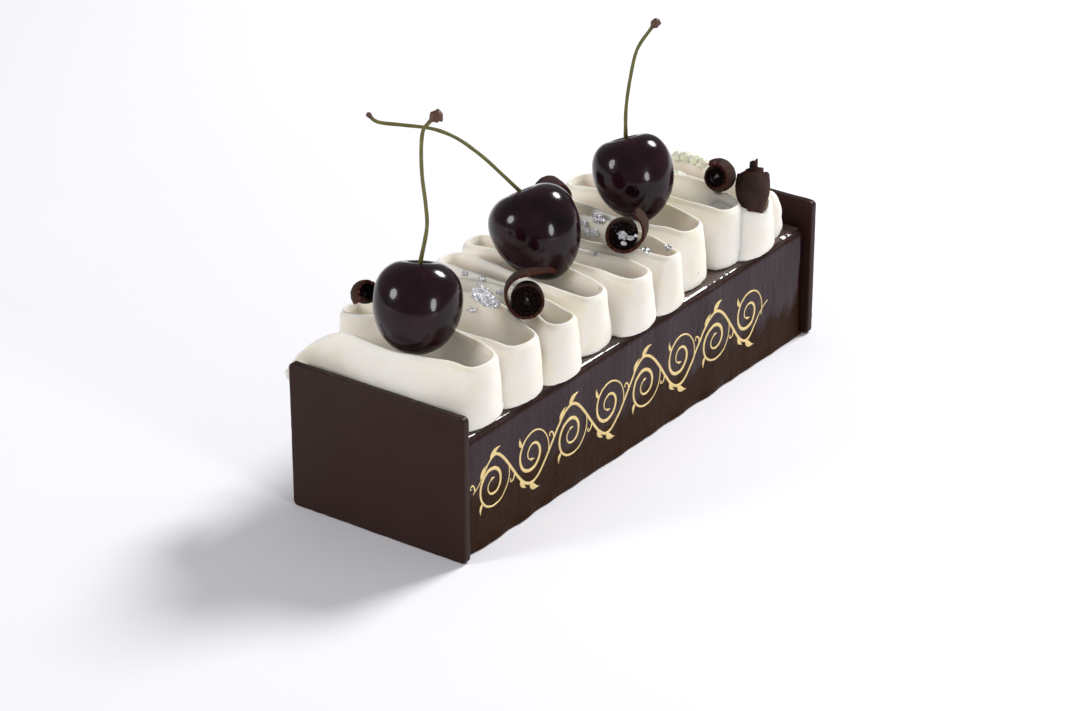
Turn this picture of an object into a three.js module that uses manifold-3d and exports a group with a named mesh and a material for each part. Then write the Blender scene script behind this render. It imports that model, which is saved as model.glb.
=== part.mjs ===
// A glazed yule log cake between two chocolate end plaques, topped with one long ribbon of
// piped cream, three cherries on their stems, six chocolate curls, flakes of silver leaf and
// a few pale sugar crumbs.
//
// Units are millimetres and +Z is up. X runs across the log, Y runs along it from the front
// plaque to the back one. The origin is the middle of the flat face that the log rests on.
import * as THREE from 'three';
import { mergeVertices } from 'three/addons/utils/BufferGeometryUtils.js';
import Module from 'manifold-3d';

const wasm = await Module();
wasm.setup();

// ---------------------------------------------------------------- driving dimensions
const CAKE_LENGTH = 208.6;
const PLAQUE_WIDTH = 70;
const PLAQUE_HEIGHT = 51.6;
const PLAQUE_THICKNESS = 3;
const PLAQUE_CORNER = 1.6;
const PLAQUE_BEVEL = 0.4;
const LOG_HALF_WIDTH = 32.5;
const LOG_HEIGHT = 42;
const LOG_TOP_EDGE = 2.6;
const LOG_FOOT_EDGE = 0.6;
const GAP = 0.3;

const CREAM_FOOT = LOG_HEIGHT + GAP;
const CREAM_RIM = 64.6;
const TIP_DIP = 1.2;
const TIP_START = 20;
const TIP_SPAN = 12;
const BASE_FLARE = 2.4;
const BASE_REACH = 30;
const TIP_LEAN = 1.2;
const CORNER_FULLNESS = 1.06;
const BED_HEIGHT = 5.5;
const STEP_LENGTH = 7;
const FINEST_EDGE = 0.01;

const PLAQUE_INNER = CAKE_LENGTH / 2 - PLAQUE_THICKNESS;
const LOG_HALF_LENGTH = PLAQUE_INNER - GAP;

// Section of the ribbon: half its thickness at each share of its height, foot to rim.
const RIBBON_SECTION = [
  { share: 0, half: 1.9 },
  { share: 0.13, half: 2.6 },
  { share: 0.93, half: 1.2 },
  { share: 1, half: 0.5 },
];

// Turns of the ribbon, front to back: where along the log each one peaks, how far out it
// reaches, half the width of its bend, and how much its rim stands above CREAM_RIM.
const RIGHT_TURNS = [
  { along: -86.8, reach: 31.5, half: 8.1, rise: 0.3 },
  { along: -66.1, reach: 32.4, half: 7.7, rise: -0.5 },
  { along: -46.0, reach: 33.8, half: 5.5, rise: -0.8 },
  { along: -23.5, reach: 29.7, half: 6.3, rise: -1.1 },
  { along: -2.4, reach: 33.4, half: 6.0, rise: -1.4 },
  { along: 16.1, reach: 33.0, half: 3.6, rise: -0.7 },
  { along: 35.7, reach: 28.4, half: 6.8, rise: 0.3 },
  { along: 59.2, reach: 28.8, half: 5.8, rise: -0.3 },
  { along: 72.0, reach: 33.0, half: 7.6, rise: -2.2 },
];
const LEFT_TURNS = [
  { along: -79.2, reach: 30.0, half: 5.0, rise: -0.1 },
  { along: -52.5, reach: 30.4, half: 4.9, rise: -0.6 },
  { along: -29.7, reach: 29.1, half: 5.2, rise: -0.9 },
  { along: -12.1, reach: 31.0, half: 5.0, rise: -1.2 },
  { along: 7.1, reach: 30.4, half: 5.6, rise: -1.0 },
  { along: 25.9, reach: 30.1, half: 5.4, rise: -0.2 },
  { along: 48.1, reach: 31.0, half: 6.5, rise: 0.0 },
  { along: 67.3, reach: 29.9, half: 5.7, rise: -0.3 },
];
// Where each pass of the ribbon crosses the middle of the log, in pairs round the right turns.
const WAIST_X = 4;
const WAISTS = [
  [-99.4, -76.1], [-74.9, -49.5], [-39.4, -37.0], [-28.6, -13.9], [-9.4, 0.8],
  [6.3, 24.3], [26.7, 46.3], [52.9, 71.3], [73.8, 87.0],
];
// The tail that hangs over the left edge behind the front plaque, and the last short end.
const TAIL = [
  { x: -41.5, y: -97.6, foot: -2.0, rim: 45.5 },
  { x: -36.0, y: -97.4, foot: 0, rim: 53.0 },
  { x: -27.5, y: -97.4, foot: 0, rim: 60.2 },
  { x: -16.0, y: -97.6, foot: 0, rim: CREAM_RIM },
];
const LAST_END = [
  { x: -12.0, y: 89.5, foot: 0, rim: 63 },
  { x: -23.0, y: 88.0, foot: 0, rim: 59 },
];
const FRONT_LIMIT = -98.1;

const CHERRY_SIDES = 22;
const CHERRY_BANDS = 13;
const CHERRIES = [
  {
    name: 'front', centre: [3.7, -86.0, 76.7], width: 28.5, top: 13.3, bottom: 16.9,
    lean: [3.7, 19.9], shoulder: 0.81, taper: 0.95,
    stem: [[3.9, -81.1, 99.7], [3.8, -81.2, 107.5], [3.0, -81.8, 117.7], [2.9, -81.9, 126.7],
      [3.4, -81.5, 132.7], [4.6, -80.7, 135.0], [6.4, -79.4, 137.3], [8.4, -77.9, 138.3]],
    knob: 1.9,
  },
  {
    name: 'middle', centre: [-0.9, -16.8, 77.0], width: 30.2, top: 12.4, bottom: 19.5,
    lean: [-22.8, 19.1], shoulder: 0.76, taper: 1.18,
    stem: [[-11.8, -20.5, 93.7], [-16.5, -23.8, 99.4], [-22.2, -27.9, 105.1],
      [-26.9, -31.3, 108.2], [-31.6, -34.6, 109.8], [-38.2, -39.4, 110.8],
      [-44.3, -43.8, 111.9], [-47.1, -45.8, 115.0]],
    knob: 0.9,
  },
  {
    name: 'back', centre: [2.9, 35.7, 78.2], width: 27.6, top: 12.6, bottom: 17.5,
    lean: [-15.0, 19.0], shoulder: 0.62, taper: 1.3,
    stem: [[-1.2, 36.8, 99.5], [-0.2, 37.5, 110.4], [1.6, 38.8, 121.1], [5.1, 41.3, 128.3],
      [7.5, 43.0, 132.1]],
    knob: 1.6,
  },
];
const CHERRY_FLATNESS = 0.95;
const VIEW_TURN = THREE.MathUtils.degToRad(35.7);
const DIMPLE_DEPTH = 2.7;
const DIMPLE_WIDTH = 3.9;
const STEM_RADIUS = 0.62;
const STEM_SIDES = 7;
const STEM_LIFT = 1.0;

// Chocolate curls, each a thin sheet rolled up on itself: middle of the mouth, the way the
// mouth looks, radius at the mouth and at the far end, how far the barrel bulges between
// them, radius of the core, length, turns of the roll, the share of its pitch that the sheet
// fills, how deep the roll's core lies in the mouth, how far it stands out at the far end,
// how far the end of the sheet stands off the roll at the mouth and how much more at the far
// end, how far its flap swings on from there, the turn of the whole spiral, whether it widens
// anticlockwise (1) or clockwise (-1) when seen from the mouth, and the size of a flake of
// silver leaf in the mouth, if there is one.
const CURL_EDGE = 0.75;
const CORE_FILL = 0.8;
const CURL_STEPS = 12;
const CURL_BANDS = 3;
const CURL_ROOM = 0.5;
const PEAK_POWER = 1.8;
const LOOSE_STEPS = 4;
const FLAP_STEPS = 3;
const FLAP_BEND = 0.018;
const CURLS = [
  { name: 'left_of_front_cherry', mouth: [-19.0, -81.5, 72.0], looks: [0.8, -0.34, 0.5],
    near: 3.9, far: 2.6, bulge: 1.1, core: 1.6, length: 8.5, turns: 20 / 12, fill: 0.6,
    hollow: 2.0, peak: 0, standOff: 0, flare: 0, flap: 0, roll: 330, wound: 1 },
  { name: 'before_middle_cherry', mouth: [23.6, -55.3, 70.4], looks: [0.56, -0.78, 0.28],
    near: 6.2, far: 5.9, bulge: 0.2, core: 1.0, length: 9.5, turns: 52 / 12, fill: 0.83,
    hollow: 2.0, peak: 0, standOff: 1.5, flare: 0.9, flap: 10.8, roll: 312, wound: -1 },
  { name: 'behind_middle_cherry', mouth: [-13.4, 15.0, 71.0], looks: [0.8, -0.6, 0.05],
    near: 5.8, far: 5.4, bulge: 0.3, core: 1.6, length: 11, turns: 22 / 12, fill: 0.6,
    hollow: 1.5, peak: 0, standOff: 0, flare: 0, flap: 0, roll: 310, wound: 1 },
  { name: 'before_back_cherry', mouth: [19.8, 4.6, 70.4], looks: [0.52, -0.8, 0.3],
    near: 6.3, far: 5.9, bulge: 0.2, core: 1.2, length: 9.5, turns: 44 / 12, fill: 0.8,
    hollow: 3.0, peak: 0, standOff: 0.9, flare: 2.4, flap: 1.8, roll: 172, wound: 1, leaf: 4.6 },
  { name: 'right_of_back_cherry', mouth: [17.7, 63.9, 70.0], looks: [0.18, -0.94, 0.27],
    near: 4.5, far: 4.4, bulge: 1.4, core: 1.8, length: 8.5, turns: 32 / 12, fill: 0.8,
    hollow: 0.8, peak: 0, standOff: 0, flare: 0, flap: 0, roll: 245, wound: 1 },
  { name: 'standing_at_the_back', mouth: [31.2, 68.0, 58.9], looks: [0.3, -0.5, -0.8],
    near: 3.3, far: 6.0, bulge: 1.5, core: 1.0, length: 13, turns: 32 / 12, fill: 0.65,
    hollow: 0, peak: 6.0, standOff: 0, flare: 0, flap: 0, roll: 20, wound: 1 },
];

// Silver leaf: which pass it lies on, where across the log, on which face of the wall, how
// high up the wall, and its size across.
const LEAF_FLAKES = [
  { pass: 3, x: 0, face: -1, share: 0.93, size: 6.4 },
  { pass: 3, x: -1, face: -1, share: 0.76, size: 3.6 },
  { pass: 4, x: 2, face: -1, share: 0.9, size: 2.8 },
  { pass: 5, x: -7, face: -1, share: 0.95, size: 3.0 },
  { pass: 5, x: -14, face: -1, share: 0.95, size: 2.6 },
  { pass: 11, x: -5, face: -1, share: 0.77, size: 5.6 },
  { pass: 11, x: -3, face: -1, share: 0.98, size: 4.6 },
  { pass: 9, x: 11, face: -1, share: 0.97, size: 2.6 },
  { pass: 10, x: 25, face: -1, share: 1, size: 3.4 },
  { pass: 11, x: 29, face: -1, share: 0.98, size: 3.4 },
];
const LEAF_THICKNESS = 1.1;
const LEAF_DEPTH = 0.8;

// Sugar crumbs: which pass each lies on, where across the log, and its size across.
const CRUMB_SINK = 1.2;
const CRUMBS = [
  { pass: 17, x: -14, size: 5.2 },
  { pass: 17, x: -10.5, size: 5.6 },
  { pass: 17, x: -6.5, size: 5.0 },
  { pass: 17, x: -2.5, size: 5.4 },
  { pass: 16, x: -9, size: 4.4 },
  { pass: 16, x: -4, size: 4.8 },
];
// The dab of cream where the piping ends, beside the back plaque.
const DAB_CENTRE = [25.5, 86.5, 48];
const DAB_RADII = [5.4, 5.2, 11.5];

// ---------------------------------------------------------------- solids and meshes
function makeMesh(name, geometry, colour, roughness, metalness = 0) {
  const material = new THREE.MeshStandardMaterial({ color: colour, roughness, metalness });
  const mesh = new THREE.Mesh(geometry, material);
  mesh.name = name;
  return mesh;
}

function signedVolume(position, index) {
  const a = new THREE.Vector3();
  const b = new THREE.Vector3();
  const c = new THREE.Vector3();
  let volume = 0;
  for (let i = 0; i < index.length; i += 3) {
    a.fromBufferAttribute(position, index[i]);
    b.fromBufferAttribute(position, index[i + 1]);
    c.fromBufferAttribute(position, index[i + 2]);
    volume += a.dot(b.cross(c)) / 6;
  }
  return volume;
}

// A closed skin through rings of equal length. Each end is closed by joining the ring's
// first points to its last ones, which suits round, flat and spiral outlines alike.
function loft(rings) {
  const count = rings[0].length;
  const index = [];
  for (let r = 0; r + 1 < rings.length; r += 1) {
    for (let i = 0; i < count; i += 1) {
      const a = r * count + i;
      const b = r * count + ((i + 1) % count);
      index.push(a, b, b + count, a, b + count, a + count);
    }
  }
  const last = (rings.length - 1) * count;
  for (let i = 0; i + 1 < count - 1 - i; i += 1) {
    const j = count - 1 - i;
    index.push(i, j, i + 1, last + i, last + i + 1, last + j);
    if (i + 1 < j - 1) {
      index.push(j, j - 1, i + 1, last + j, last + i + 1, last + j - 1);
    }
  }
  const geometry = new THREE.BufferGeometry().setFromPoints(rings.flat());
  if (signedVolume(geometry.getAttribute('position'), index) < 0) {
    index.reverse();
  }
  geometry.setIndex(index);
  return geometry;
}

function toSolid(geometry) {
  const bare = geometry.clone();
  bare.deleteAttribute('normal');
  bare.deleteAttribute('uv');
  const merged = mergeVertices(bare, 1e-4);
  const vertProperties = new Float32Array(merged.getAttribute('position').array);
  const triVerts = new Uint32Array(merged.index.array);
  return new wasm.Manifold(new wasm.Mesh({ numProp: 3, vertProperties, triVerts }));
}

function toGeometry(solid) {
  const mesh = solid.getMesh();
  const geometry = new THREE.BufferGeometry();
  geometry.setAttribute('position', new THREE.BufferAttribute(mesh.vertProperties, 3));
  geometry.setIndex(new THREE.BufferAttribute(mesh.triVerts, 1));
  return geometry;
}

// Loose scraps left by a cut are dropped: only the largest piece stays.
function largestPiece(solid) {
  const pieces = solid.decompose();
  return pieces.reduce((best, piece) => (piece.volume() > best.volume() ? piece : best));
}

function smoothstep(value) {
  const t = THREE.MathUtils.clamp(value, 0, 1);
  return t * t * (3 - 2 * t);
}

// ---------------------------------------------------------------- log and plaques
function roundedOutline(halfWidth, height, topRadius, footRadius) {
  const shape = new THREE.Shape();
  shape.moveTo(-halfWidth + footRadius, 0);
  shape.lineTo(halfWidth - footRadius, 0);
  shape.absarc(halfWidth - footRadius, footRadius, footRadius, -Math.PI / 2, 0);
  shape.absarc(halfWidth - topRadius, height - topRadius, topRadius, 0, Math.PI / 2);
  shape.absarc(-halfWidth + topRadius, height - topRadius, topRadius, Math.PI / 2, Math.PI);
  shape.absarc(-halfWidth + footRadius, footRadius, footRadius, Math.PI, 1.5 * Math.PI);
  return shape;
}

function makeLog() {
  const outline = roundedOutline(LOG_HALF_WIDTH, LOG_HEIGHT, LOG_TOP_EDGE, LOG_FOOT_EDGE);
  const settings = { depth: 2 * LOG_HALF_LENGTH, bevelEnabled: false, curveSegments: 4 };
  const log = makeMesh('cake_log', new THREE.ExtrudeGeometry(outline, settings), 0x2a1b18, 0.18);
  log.rotation.x = Math.PI / 2;
  log.position.y = LOG_HALF_LENGTH;
  return log;
}

function makePlaque(name, outerFaceY) {
  const halfWidth = PLAQUE_WIDTH / 2 - PLAQUE_BEVEL;
  const height = PLAQUE_HEIGHT - 2 * PLAQUE_BEVEL;
  const outline = roundedOutline(halfWidth, height, PLAQUE_CORNER, PLAQUE_CORNER);
  const geometry = new THREE.ExtrudeGeometry(outline, {
    depth: PLAQUE_THICKNESS - 2 * PLAQUE_BEVEL,
    bevelThickness: PLAQUE_BEVEL,
    bevelSize: PLAQUE_BEVEL,
    bevelSegments: 1,
    curveSegments: 2,
  });
  const plaque = makeMesh(name, geometry, 0x35251f, 0.38);
  plaque.rotation.x = Math.PI / 2;
  plaque.position.set(0, outerFaceY + PLAQUE_THICKNESS - PLAQUE_BEVEL, PLAQUE_BEVEL);
  return plaque;
}

// ---------------------------------------------------------------- cream ribbon
// Five points round half a circle, its diagonal points pushed out to square the bend a little.
function turnPoints(turn, side) {
  return [-90, -45, 0, 45, 90].map((degrees) => {
    const angle = THREE.MathUtils.degToRad(degrees);
    const radius = turn.half * (Math.abs(degrees) === 45 ? CORNER_FULLNESS : 1);
    const x = side * (turn.reach - turn.half + radius * Math.cos(angle));
    return { x, y: turn.along + radius * Math.sin(angle), foot: 0, rim: CREAM_RIM + turn.rise };
  });
}

function waistPoint(y, rise) {
  return { x: WAIST_X, y, foot: 0, rim: CREAM_RIM + rise };
}

// The whole route of the rim, with the place in it of every turn's tip.
function ribbonRoute() {
  const points = [...TAIL];
  const tips = [0];
  RIGHT_TURNS.forEach((turn, i) => {
    const [near, far] = WAISTS[i];
    points.push(waistPoint(near, turn.rise));
    tips.push(points.length + 2);
    points.push(...turnPoints(turn, 1), waistPoint(far, turn.rise));
    if (i < LEFT_TURNS.length) {
      tips.push(points.length + 2);
      points.push(...turnPoints(LEFT_TURNS[i], -1));
    }
  });
  points.push(...LAST_END);
  tips.push(points.length - 1);
  return { points, tips };
}

// Samples of one pass: a smooth curve through its route points, with the wall's foot set
// back from the rim at the turns and flared away from the pocket along the passes.
function samplePass(route, pass) {
  const first = route.tips[pass];
  const last = route.tips[pass + 1];
  const plan = new THREE.CatmullRomCurve3(
    route.points.map((p) => new THREE.Vector3(p.x, p.y, 0)), false, 'centripetal');
  const heights = new THREE.CatmullRomCurve3(
    route.points.map((p) => new THREE.Vector3(p.foot, p.rim, 0)), false, 'catmullrom', 0.5);
  const whole = route.points.length - 1;
  const samples = [];
  for (let k = first; k <= last; k += 1) {
    const next = route.points[Math.min(k + 1, whole)];
    const span = Math.hypot(next.x - route.points[k].x, next.y - route.points[k].y);
    const steps = k === last ? 1 : Math.max(2, Math.round(span / STEP_LENGTH));
    for (let s = 0; s < steps; s += 1) {
      const t = (k + s / steps) / whole;
      samples.push(ribbonSample(plan.getPoint(t), plan.getTangent(t), heights.getPoint(t), pass));
    }
  }
  return samples;
}

function ribbonSample(place, tangent, height, pass) {
  const normal = new THREE.Vector3(tangent.y, -tangent.x, 0).normalize();
  const tip = smoothstep((Math.abs(place.x) - TIP_START) / TIP_SPAN);
  const outward = pass % 2 === 0 ? -1 : 1;
  const flare = (outward * BASE_FLARE * place.x) / BASE_REACH;
  const lean = -Math.sign(place.x) * TIP_LEAN * tip * Math.abs(normal.x);
  const footY = Math.max(place.y + flare * Math.abs(normal.y), FRONT_LIMIT);
  const foot = new THREE.Vector3(place.x + lean, footY, CREAM_FOOT + height.x);
  const rim = new THREE.Vector3(place.x, place.y, height.y - TIP_DIP * tip);
  return { foot, rim, normal };
}

function wallPoint(sample, share, offset) {
  return sample.foot.clone().lerp(sample.rim, share).addScaledVector(sample.normal, offset);
}

function wallRing(sample) {
  const left = RIBBON_SECTION.map(({ share, half }) => wallPoint(sample, share, -half));
  const right = RIBBON_SECTION.map(({ share, half }) => wallPoint(sample, share, half));
  return [...left, ...right.reverse()];
}

function endDab() {
  const ball = new THREE.SphereGeometry(1, 12, 8);
  ball.rotateX(Math.PI / 2);
  ball.scale(...DAB_RADII);
  ball.translate(...DAB_CENTRE);
  return toSolid(ball).trimByPlane([0, 0, 1], CREAM_FOOT);
}

// The low bed of cream that closes the pockets between the passes.
function creamBed() {
  const outline = new THREE.Shape();
  outline.moveTo(-20, -92);
  outline.lineTo(20, -92);
  outline.lineTo(20, 82);
  outline.lineTo(-20, 84);
  outline.closePath();
  const bed = new THREE.ExtrudeGeometry(outline, { depth: BED_HEIGHT, bevelEnabled: false });
  bed.translate(0, 0, CREAM_FOOT);
  return bed;
}

function nearestSample(samples, x) {
  const away = samples.map((s) => Math.abs(s.rim.x - x));
  return samples[away.indexOf(Math.min(...away))];
}

function faceHalf(share) {
  const after = RIBBON_SECTION.findIndex((row) => row.share >= share);
  const upper = RIBBON_SECTION[Math.max(after, 1)];
  const lower = RIBBON_SECTION[Math.max(after, 1) - 1];
  const t = (share - lower.share) / (upper.share - lower.share);
  return THREE.MathUtils.lerp(lower.half, upper.half, t);
}

// A small crumpled plate of silver leaf, sunk by half its thickness in the face it lies on.
function leafFlake(samples, flake) {
  const sample = nearestSample(samples, flake.x);
  const facing = sample.normal.clone();
  if (Math.sign(facing.y) !== flake.face) {
    facing.negate();
  }
  const place = wallPoint(sample, flake.share, 0).addScaledVector(facing, faceHalf(flake.share));
  const up = facing.clone().add(new THREE.Vector3(0, 0, 0.6 + flake.share)).normalize();
  const plate = new THREE.IcosahedronGeometry(0.5, 0);
  plate.scale(flake.size, 0.7 * flake.size, LEAF_THICKNESS);
  const turn = new THREE.Quaternion().setFromUnitVectors(new THREE.Vector3(0, 0, 1), up);
  plate.applyQuaternion(turn);
  plate.translate(place.x, place.y, place.z);
  return plate;
}

function sugarCrumb(samples, crumb) {
  const sample = nearestSample(samples, crumb.x);
  const lump = new THREE.IcosahedronGeometry(crumb.size / 2, 1);
  lump.scale(1, 0.85, 0.75);
  lump.rotateZ(crumb.x);
  lump.translate(sample.rim.x, sample.rim.y, sample.rim.z - CRUMB_SINK);
  return lump;
}

function makeCream(pressedIn) {
  const route = ribbonRoute();
  const passes = route.tips.slice(0, -1).map((_, pass) => samplePass(route, pass));
  let cream = toSolid(creamBed()).add(endDab());
  passes.forEach((samples) => {
    cream = cream.add(toSolid(loft(samples.map(wallRing))));
  });
  LEAF_FLAKES.forEach((flake) => {
    cream = cream.add(toSolid(leafFlake(passes[flake.pass], flake)));
  });
  CRUMBS.forEach((crumb) => {
    cream = cream.add(toSolid(sugarCrumb(passes[crumb.pass], crumb)));
  });
  pressedIn.forEach((geometry) => {
    cream = cream.subtract(toSolid(geometry));
  });
  const clean = largestPiece(cream).simplify(FINEST_EDGE);
  return makeMesh('cream_ribbon', toGeometry(clean), 0xe9e3d3, 0.5);
}

// ---------------------------------------------------------------- cherries
// Heart-shaped profile from the stem's dimple to the pointed bottom; grow thickens it evenly.
function cherryProfile(cherry, grow) {
  const profile = [];
  for (let i = 0; i <= CHERRY_BANDS; i += 1) {
    const angle = (Math.PI * i) / CHERRY_BANDS;
    const upper = angle < Math.PI / 2;
    const radius = (cherry.width / 2 + grow) * Math.sin(angle) ** (upper ? cherry.shoulder : cherry.taper);
    const dimple = DIMPLE_DEPTH * Math.exp(-((radius / DIMPLE_WIDTH) ** 2));
    const rise = (cherry.top + grow) * Math.max(Math.cos(angle), 0) ** 0.85 - dimple;
    const drop = (cherry.bottom + grow) * Math.cos(angle);
    profile.push(new THREE.Vector2(i % CHERRY_BANDS === 0 ? 0 : radius, upper ? rise : drop));
  }
  return profile.reverse();
}

function cherryTurn(cherry) {
  const [sideways, backwards] = cherry.lean.map(THREE.MathUtils.degToRad);
  return new THREE.Euler(-backwards, sideways, VIEW_TURN, 'ZYX');
}

function cherryGeometry(cherry, grow) {
  const geometry = new THREE.LatheGeometry(cherryProfile(cherry, grow), CHERRY_SIDES);
  geometry.rotateX(Math.PI / 2);
  geometry.scale(1, CHERRY_FLATNESS, 1);
  geometry.applyMatrix4(new THREE.Matrix4().makeRotationFromEuler(cherryTurn(cherry)));
  geometry.translate(...cherry.centre);
  return geometry;
}

function stemFoot(cherry) {
  const up = new THREE.Vector3(0, 0, cherry.top - DIMPLE_DEPTH + STEM_LIFT);
  return up.applyEuler(cherryTurn(cherry)).add(new THREE.Vector3(...cherry.centre));
}

// A round rod along a curve whose radius swells a little at the foot and into a knob on top.
function makeStem(cherry) {
  const points = [stemFoot(cherry), ...cherry.stem.map((p) => new THREE.Vector3(...p))];
  const curve = new THREE.CatmullRomCurve3(points, false, 'catmullrom', 0.5);
  const steps = 3 * points.length;
  const frames = curve.computeFrenetFrames(steps, false);
  const knobStart = curve.getLength() - 2.4 * cherry.knob;
  const rings = [];
  for (let i = 0; i <= steps; i += 1) {
    const along = (i / steps) * curve.getLength();
    const knob = smoothstep((along - knobStart) / cherry.knob) * (cherry.knob - STEM_RADIUS);
    const end = i === steps ? 0.6 : 1;
    const radius = (STEM_RADIUS + 0.25 * Math.exp(-along / 3) + knob) * end;
    const centre = curve.getPointAt(i / steps);
    rings.push(circleRing(centre, frames.normals[i], frames.binormals[i], radius, STEM_SIDES));
  }
  return makeMesh(`stem_${cherry.name}`, loft(rings), 0x6b6a34, 0.6);
}

function circleRing(centre, across, upward, radius, sides) {
  return Array.from({ length: sides }, (_, i) => {
    const angle = (2 * Math.PI * i) / sides;
    return centre.clone()
      .addScaledVector(across, radius * Math.cos(angle))
      .addScaledVector(upward, radius * Math.sin(angle));
  });
}

// ---------------------------------------------------------------- chocolate curls
function polar(radius, angle, z) {
  return new THREE.Vector3(radius * Math.cos(angle), radius * Math.sin(angle), z);
}

function curlRadius(curl, depth) {
  const share = THREE.MathUtils.clamp(depth / curl.length, 0, 1);
  const taper = THREE.MathUtils.lerp(curl.near, curl.far, share);
  return taper + curl.bulge * Math.sin(Math.PI * share);
}

// Outline of the rolled sheet in the curl's own frame, which looks out of the mouth along +Z:
// an even spiral from the core out to the full radius, whose last steps stand off the roll,
// then a flap that swings free at a tangent and bends a little back. The sheet thins towards
// its end. The share runs from the mouth to the far end.
function rolledOutline(curl, share) {
  const steps = Math.round(curl.turns * CURL_STEPS);
  const outer = [];
  const inner = [];
  for (let i = 0; i <= steps; i += 1) {
    const core = 1 - i / steps;
    const back = share * (curl.length + curl.peak * core ** PEAK_POWER);
    const depth = back + (1 - share) * curl.hollow * core;
    const loose = smoothstep(1 - (steps - i) / LOOSE_STEPS);
    const growth = (curlRadius(curl, depth) - curl.core) / (steps - LOOSE_STEPS);
    const reach = curl.core + growth * i + (curl.standOff + curl.flare * share) * loose;
    const sheet = THREE.MathUtils.lerp(growth * CURL_STEPS * curl.fill, CURL_EDGE, loose);
    const angle = (2 * Math.PI * i) / CURL_STEPS;
    outer.push(polar(reach, angle, -depth));
    inner.push(polar(reach - Math.min(sheet, reach * CORE_FILL), angle, -depth));
  }
  const outward = polar(1, (2 * Math.PI * steps) / CURL_STEPS, 0);
  const onward = new THREE.Vector3(-outward.y, outward.x, 0);
  for (let i = 1; i <= FLAP_STEPS && curl.flap > 0; i += 1) {
    const reach = (curl.flap * i) / FLAP_STEPS;
    const move = onward.clone().multiplyScalar(reach);
    move.addScaledVector(outward, -FLAP_BEND * reach * reach);
    outer.push(outer[steps].clone().add(move));
    inner.push(inner[steps].clone().add(move));
  }
  return { outer, inner };
}

// From the curl's own frame to the cake's, with the whole spiral turned by its roll.
function curlPlace(curl) {
  const axis = new THREE.Vector3(...curl.looks).normalize();
  const helper = Math.abs(axis.z) > 0.9 ? new THREE.Vector3(0, 1, 0) : new THREE.Vector3(0, 0, 1);
  const across = new THREE.Vector3().crossVectors(helper, axis).normalize();
  const upward = new THREE.Vector3().crossVectors(axis, across);
  const turn = new THREE.Matrix4().makeRotationZ(THREE.MathUtils.degToRad(curl.roll));
  const place = new THREE.Matrix4().makeBasis(across.multiplyScalar(curl.wound), upward, axis);
  return place.setPosition(...curl.mouth).multiply(turn);
}

// The flake of silver leaf that lies in a curl's mouth, across the roll's axis.
function curlLeaf(curl) {
  const plate = new THREE.IcosahedronGeometry(0.5, 0);
  plate.scale(curl.leaf, 0.75 * curl.leaf, LEAF_THICKNESS);
  plate.translate(0, 0, -LEAF_DEPTH * curl.hollow);
  return plate.applyMatrix4(curlPlace(curl));
}

function makeCurl(curl) {
  const place = curlPlace(curl);
  const rings = Array.from({ length: CURL_BANDS + 1 }, (_, band) => {
    const { outer, inner } = rolledOutline(curl, band / CURL_BANDS);
    return [...outer, ...inner.reverse()].map((point) => point.applyMatrix4(place));
  });
  const sheet = loft(rings);
  const whole = curl.leaf ? toGeometry(toSolid(sheet).add(toSolid(curlLeaf(curl)))) : sheet;
  return makeMesh(`curl_${curl.name}`, whole, 0x3a2823, 0.5);
}

// The room that a curl needs where it is pressed into the cream: its last turn, grown a little.
function curlRoom(curl) {
  const place = curlPlace(curl);
  const steps = Math.round(curl.turns * CURL_STEPS);
  const rings = [-CURL_ROOM, curl.length / 2, curl.length + CURL_ROOM].map((depth) => {
    const share = THREE.MathUtils.clamp(depth / curl.length, 0, 1);
    const { outer } = rolledOutline(curl, share);
    return outer.slice(steps - CURL_STEPS + 1, steps + 1).map((point) => {
      const flat = new THREE.Vector3(point.x, point.y, 0);
      flat.setLength(flat.length() + CURL_ROOM).setZ(-depth);
      return flat.applyMatrix4(place);
    });
  });
  return loft(rings);
}

// ---------------------------------------------------------------- whole cake
const cake = new THREE.Group();
cake.add(makeLog());
cake.add(makePlaque('plaque_front', -CAKE_LENGTH / 2));
cake.add(makePlaque('plaque_back', CAKE_LENGTH / 2 - PLAQUE_THICKNESS));
const pressedIn = [
  ...CHERRIES.map((cherry) => cherryGeometry(cherry, GAP)),
  ...CURLS.map(curlRoom),
];
cake.add(makeCream(pressedIn));
CHERRIES.forEach((cherry) => {
  cake.add(makeMesh(`cherry_${cherry.name}`, cherryGeometry(cherry, 0), 0x1d0f18, 0.12));
  cake.add(makeStem(cherry));
});
CURLS.forEach((curl) => cake.add(makeCurl(curl)));

export default cake;
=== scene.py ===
"""Looks of a glazed yule log cake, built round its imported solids.

The cake is a chocolate-glazed log between two thin chocolate plaques, with one long ribbon
of piped cream on top, three dark cherries on their stems, six chocolate curls, silver leaf
and a few sugar crumbs, and a gold vine scroll along its right side.

Shapes are worked out in millimetres and written to the meshes in metres.  X runs across the
log, Y along it from the front plaque to the back one, and Z is up.
"""

import logging
import math
from dataclasses import dataclass, field
from enum import Enum

import bpy
import numpy as np
from mathutils import Matrix, Vector


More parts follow.
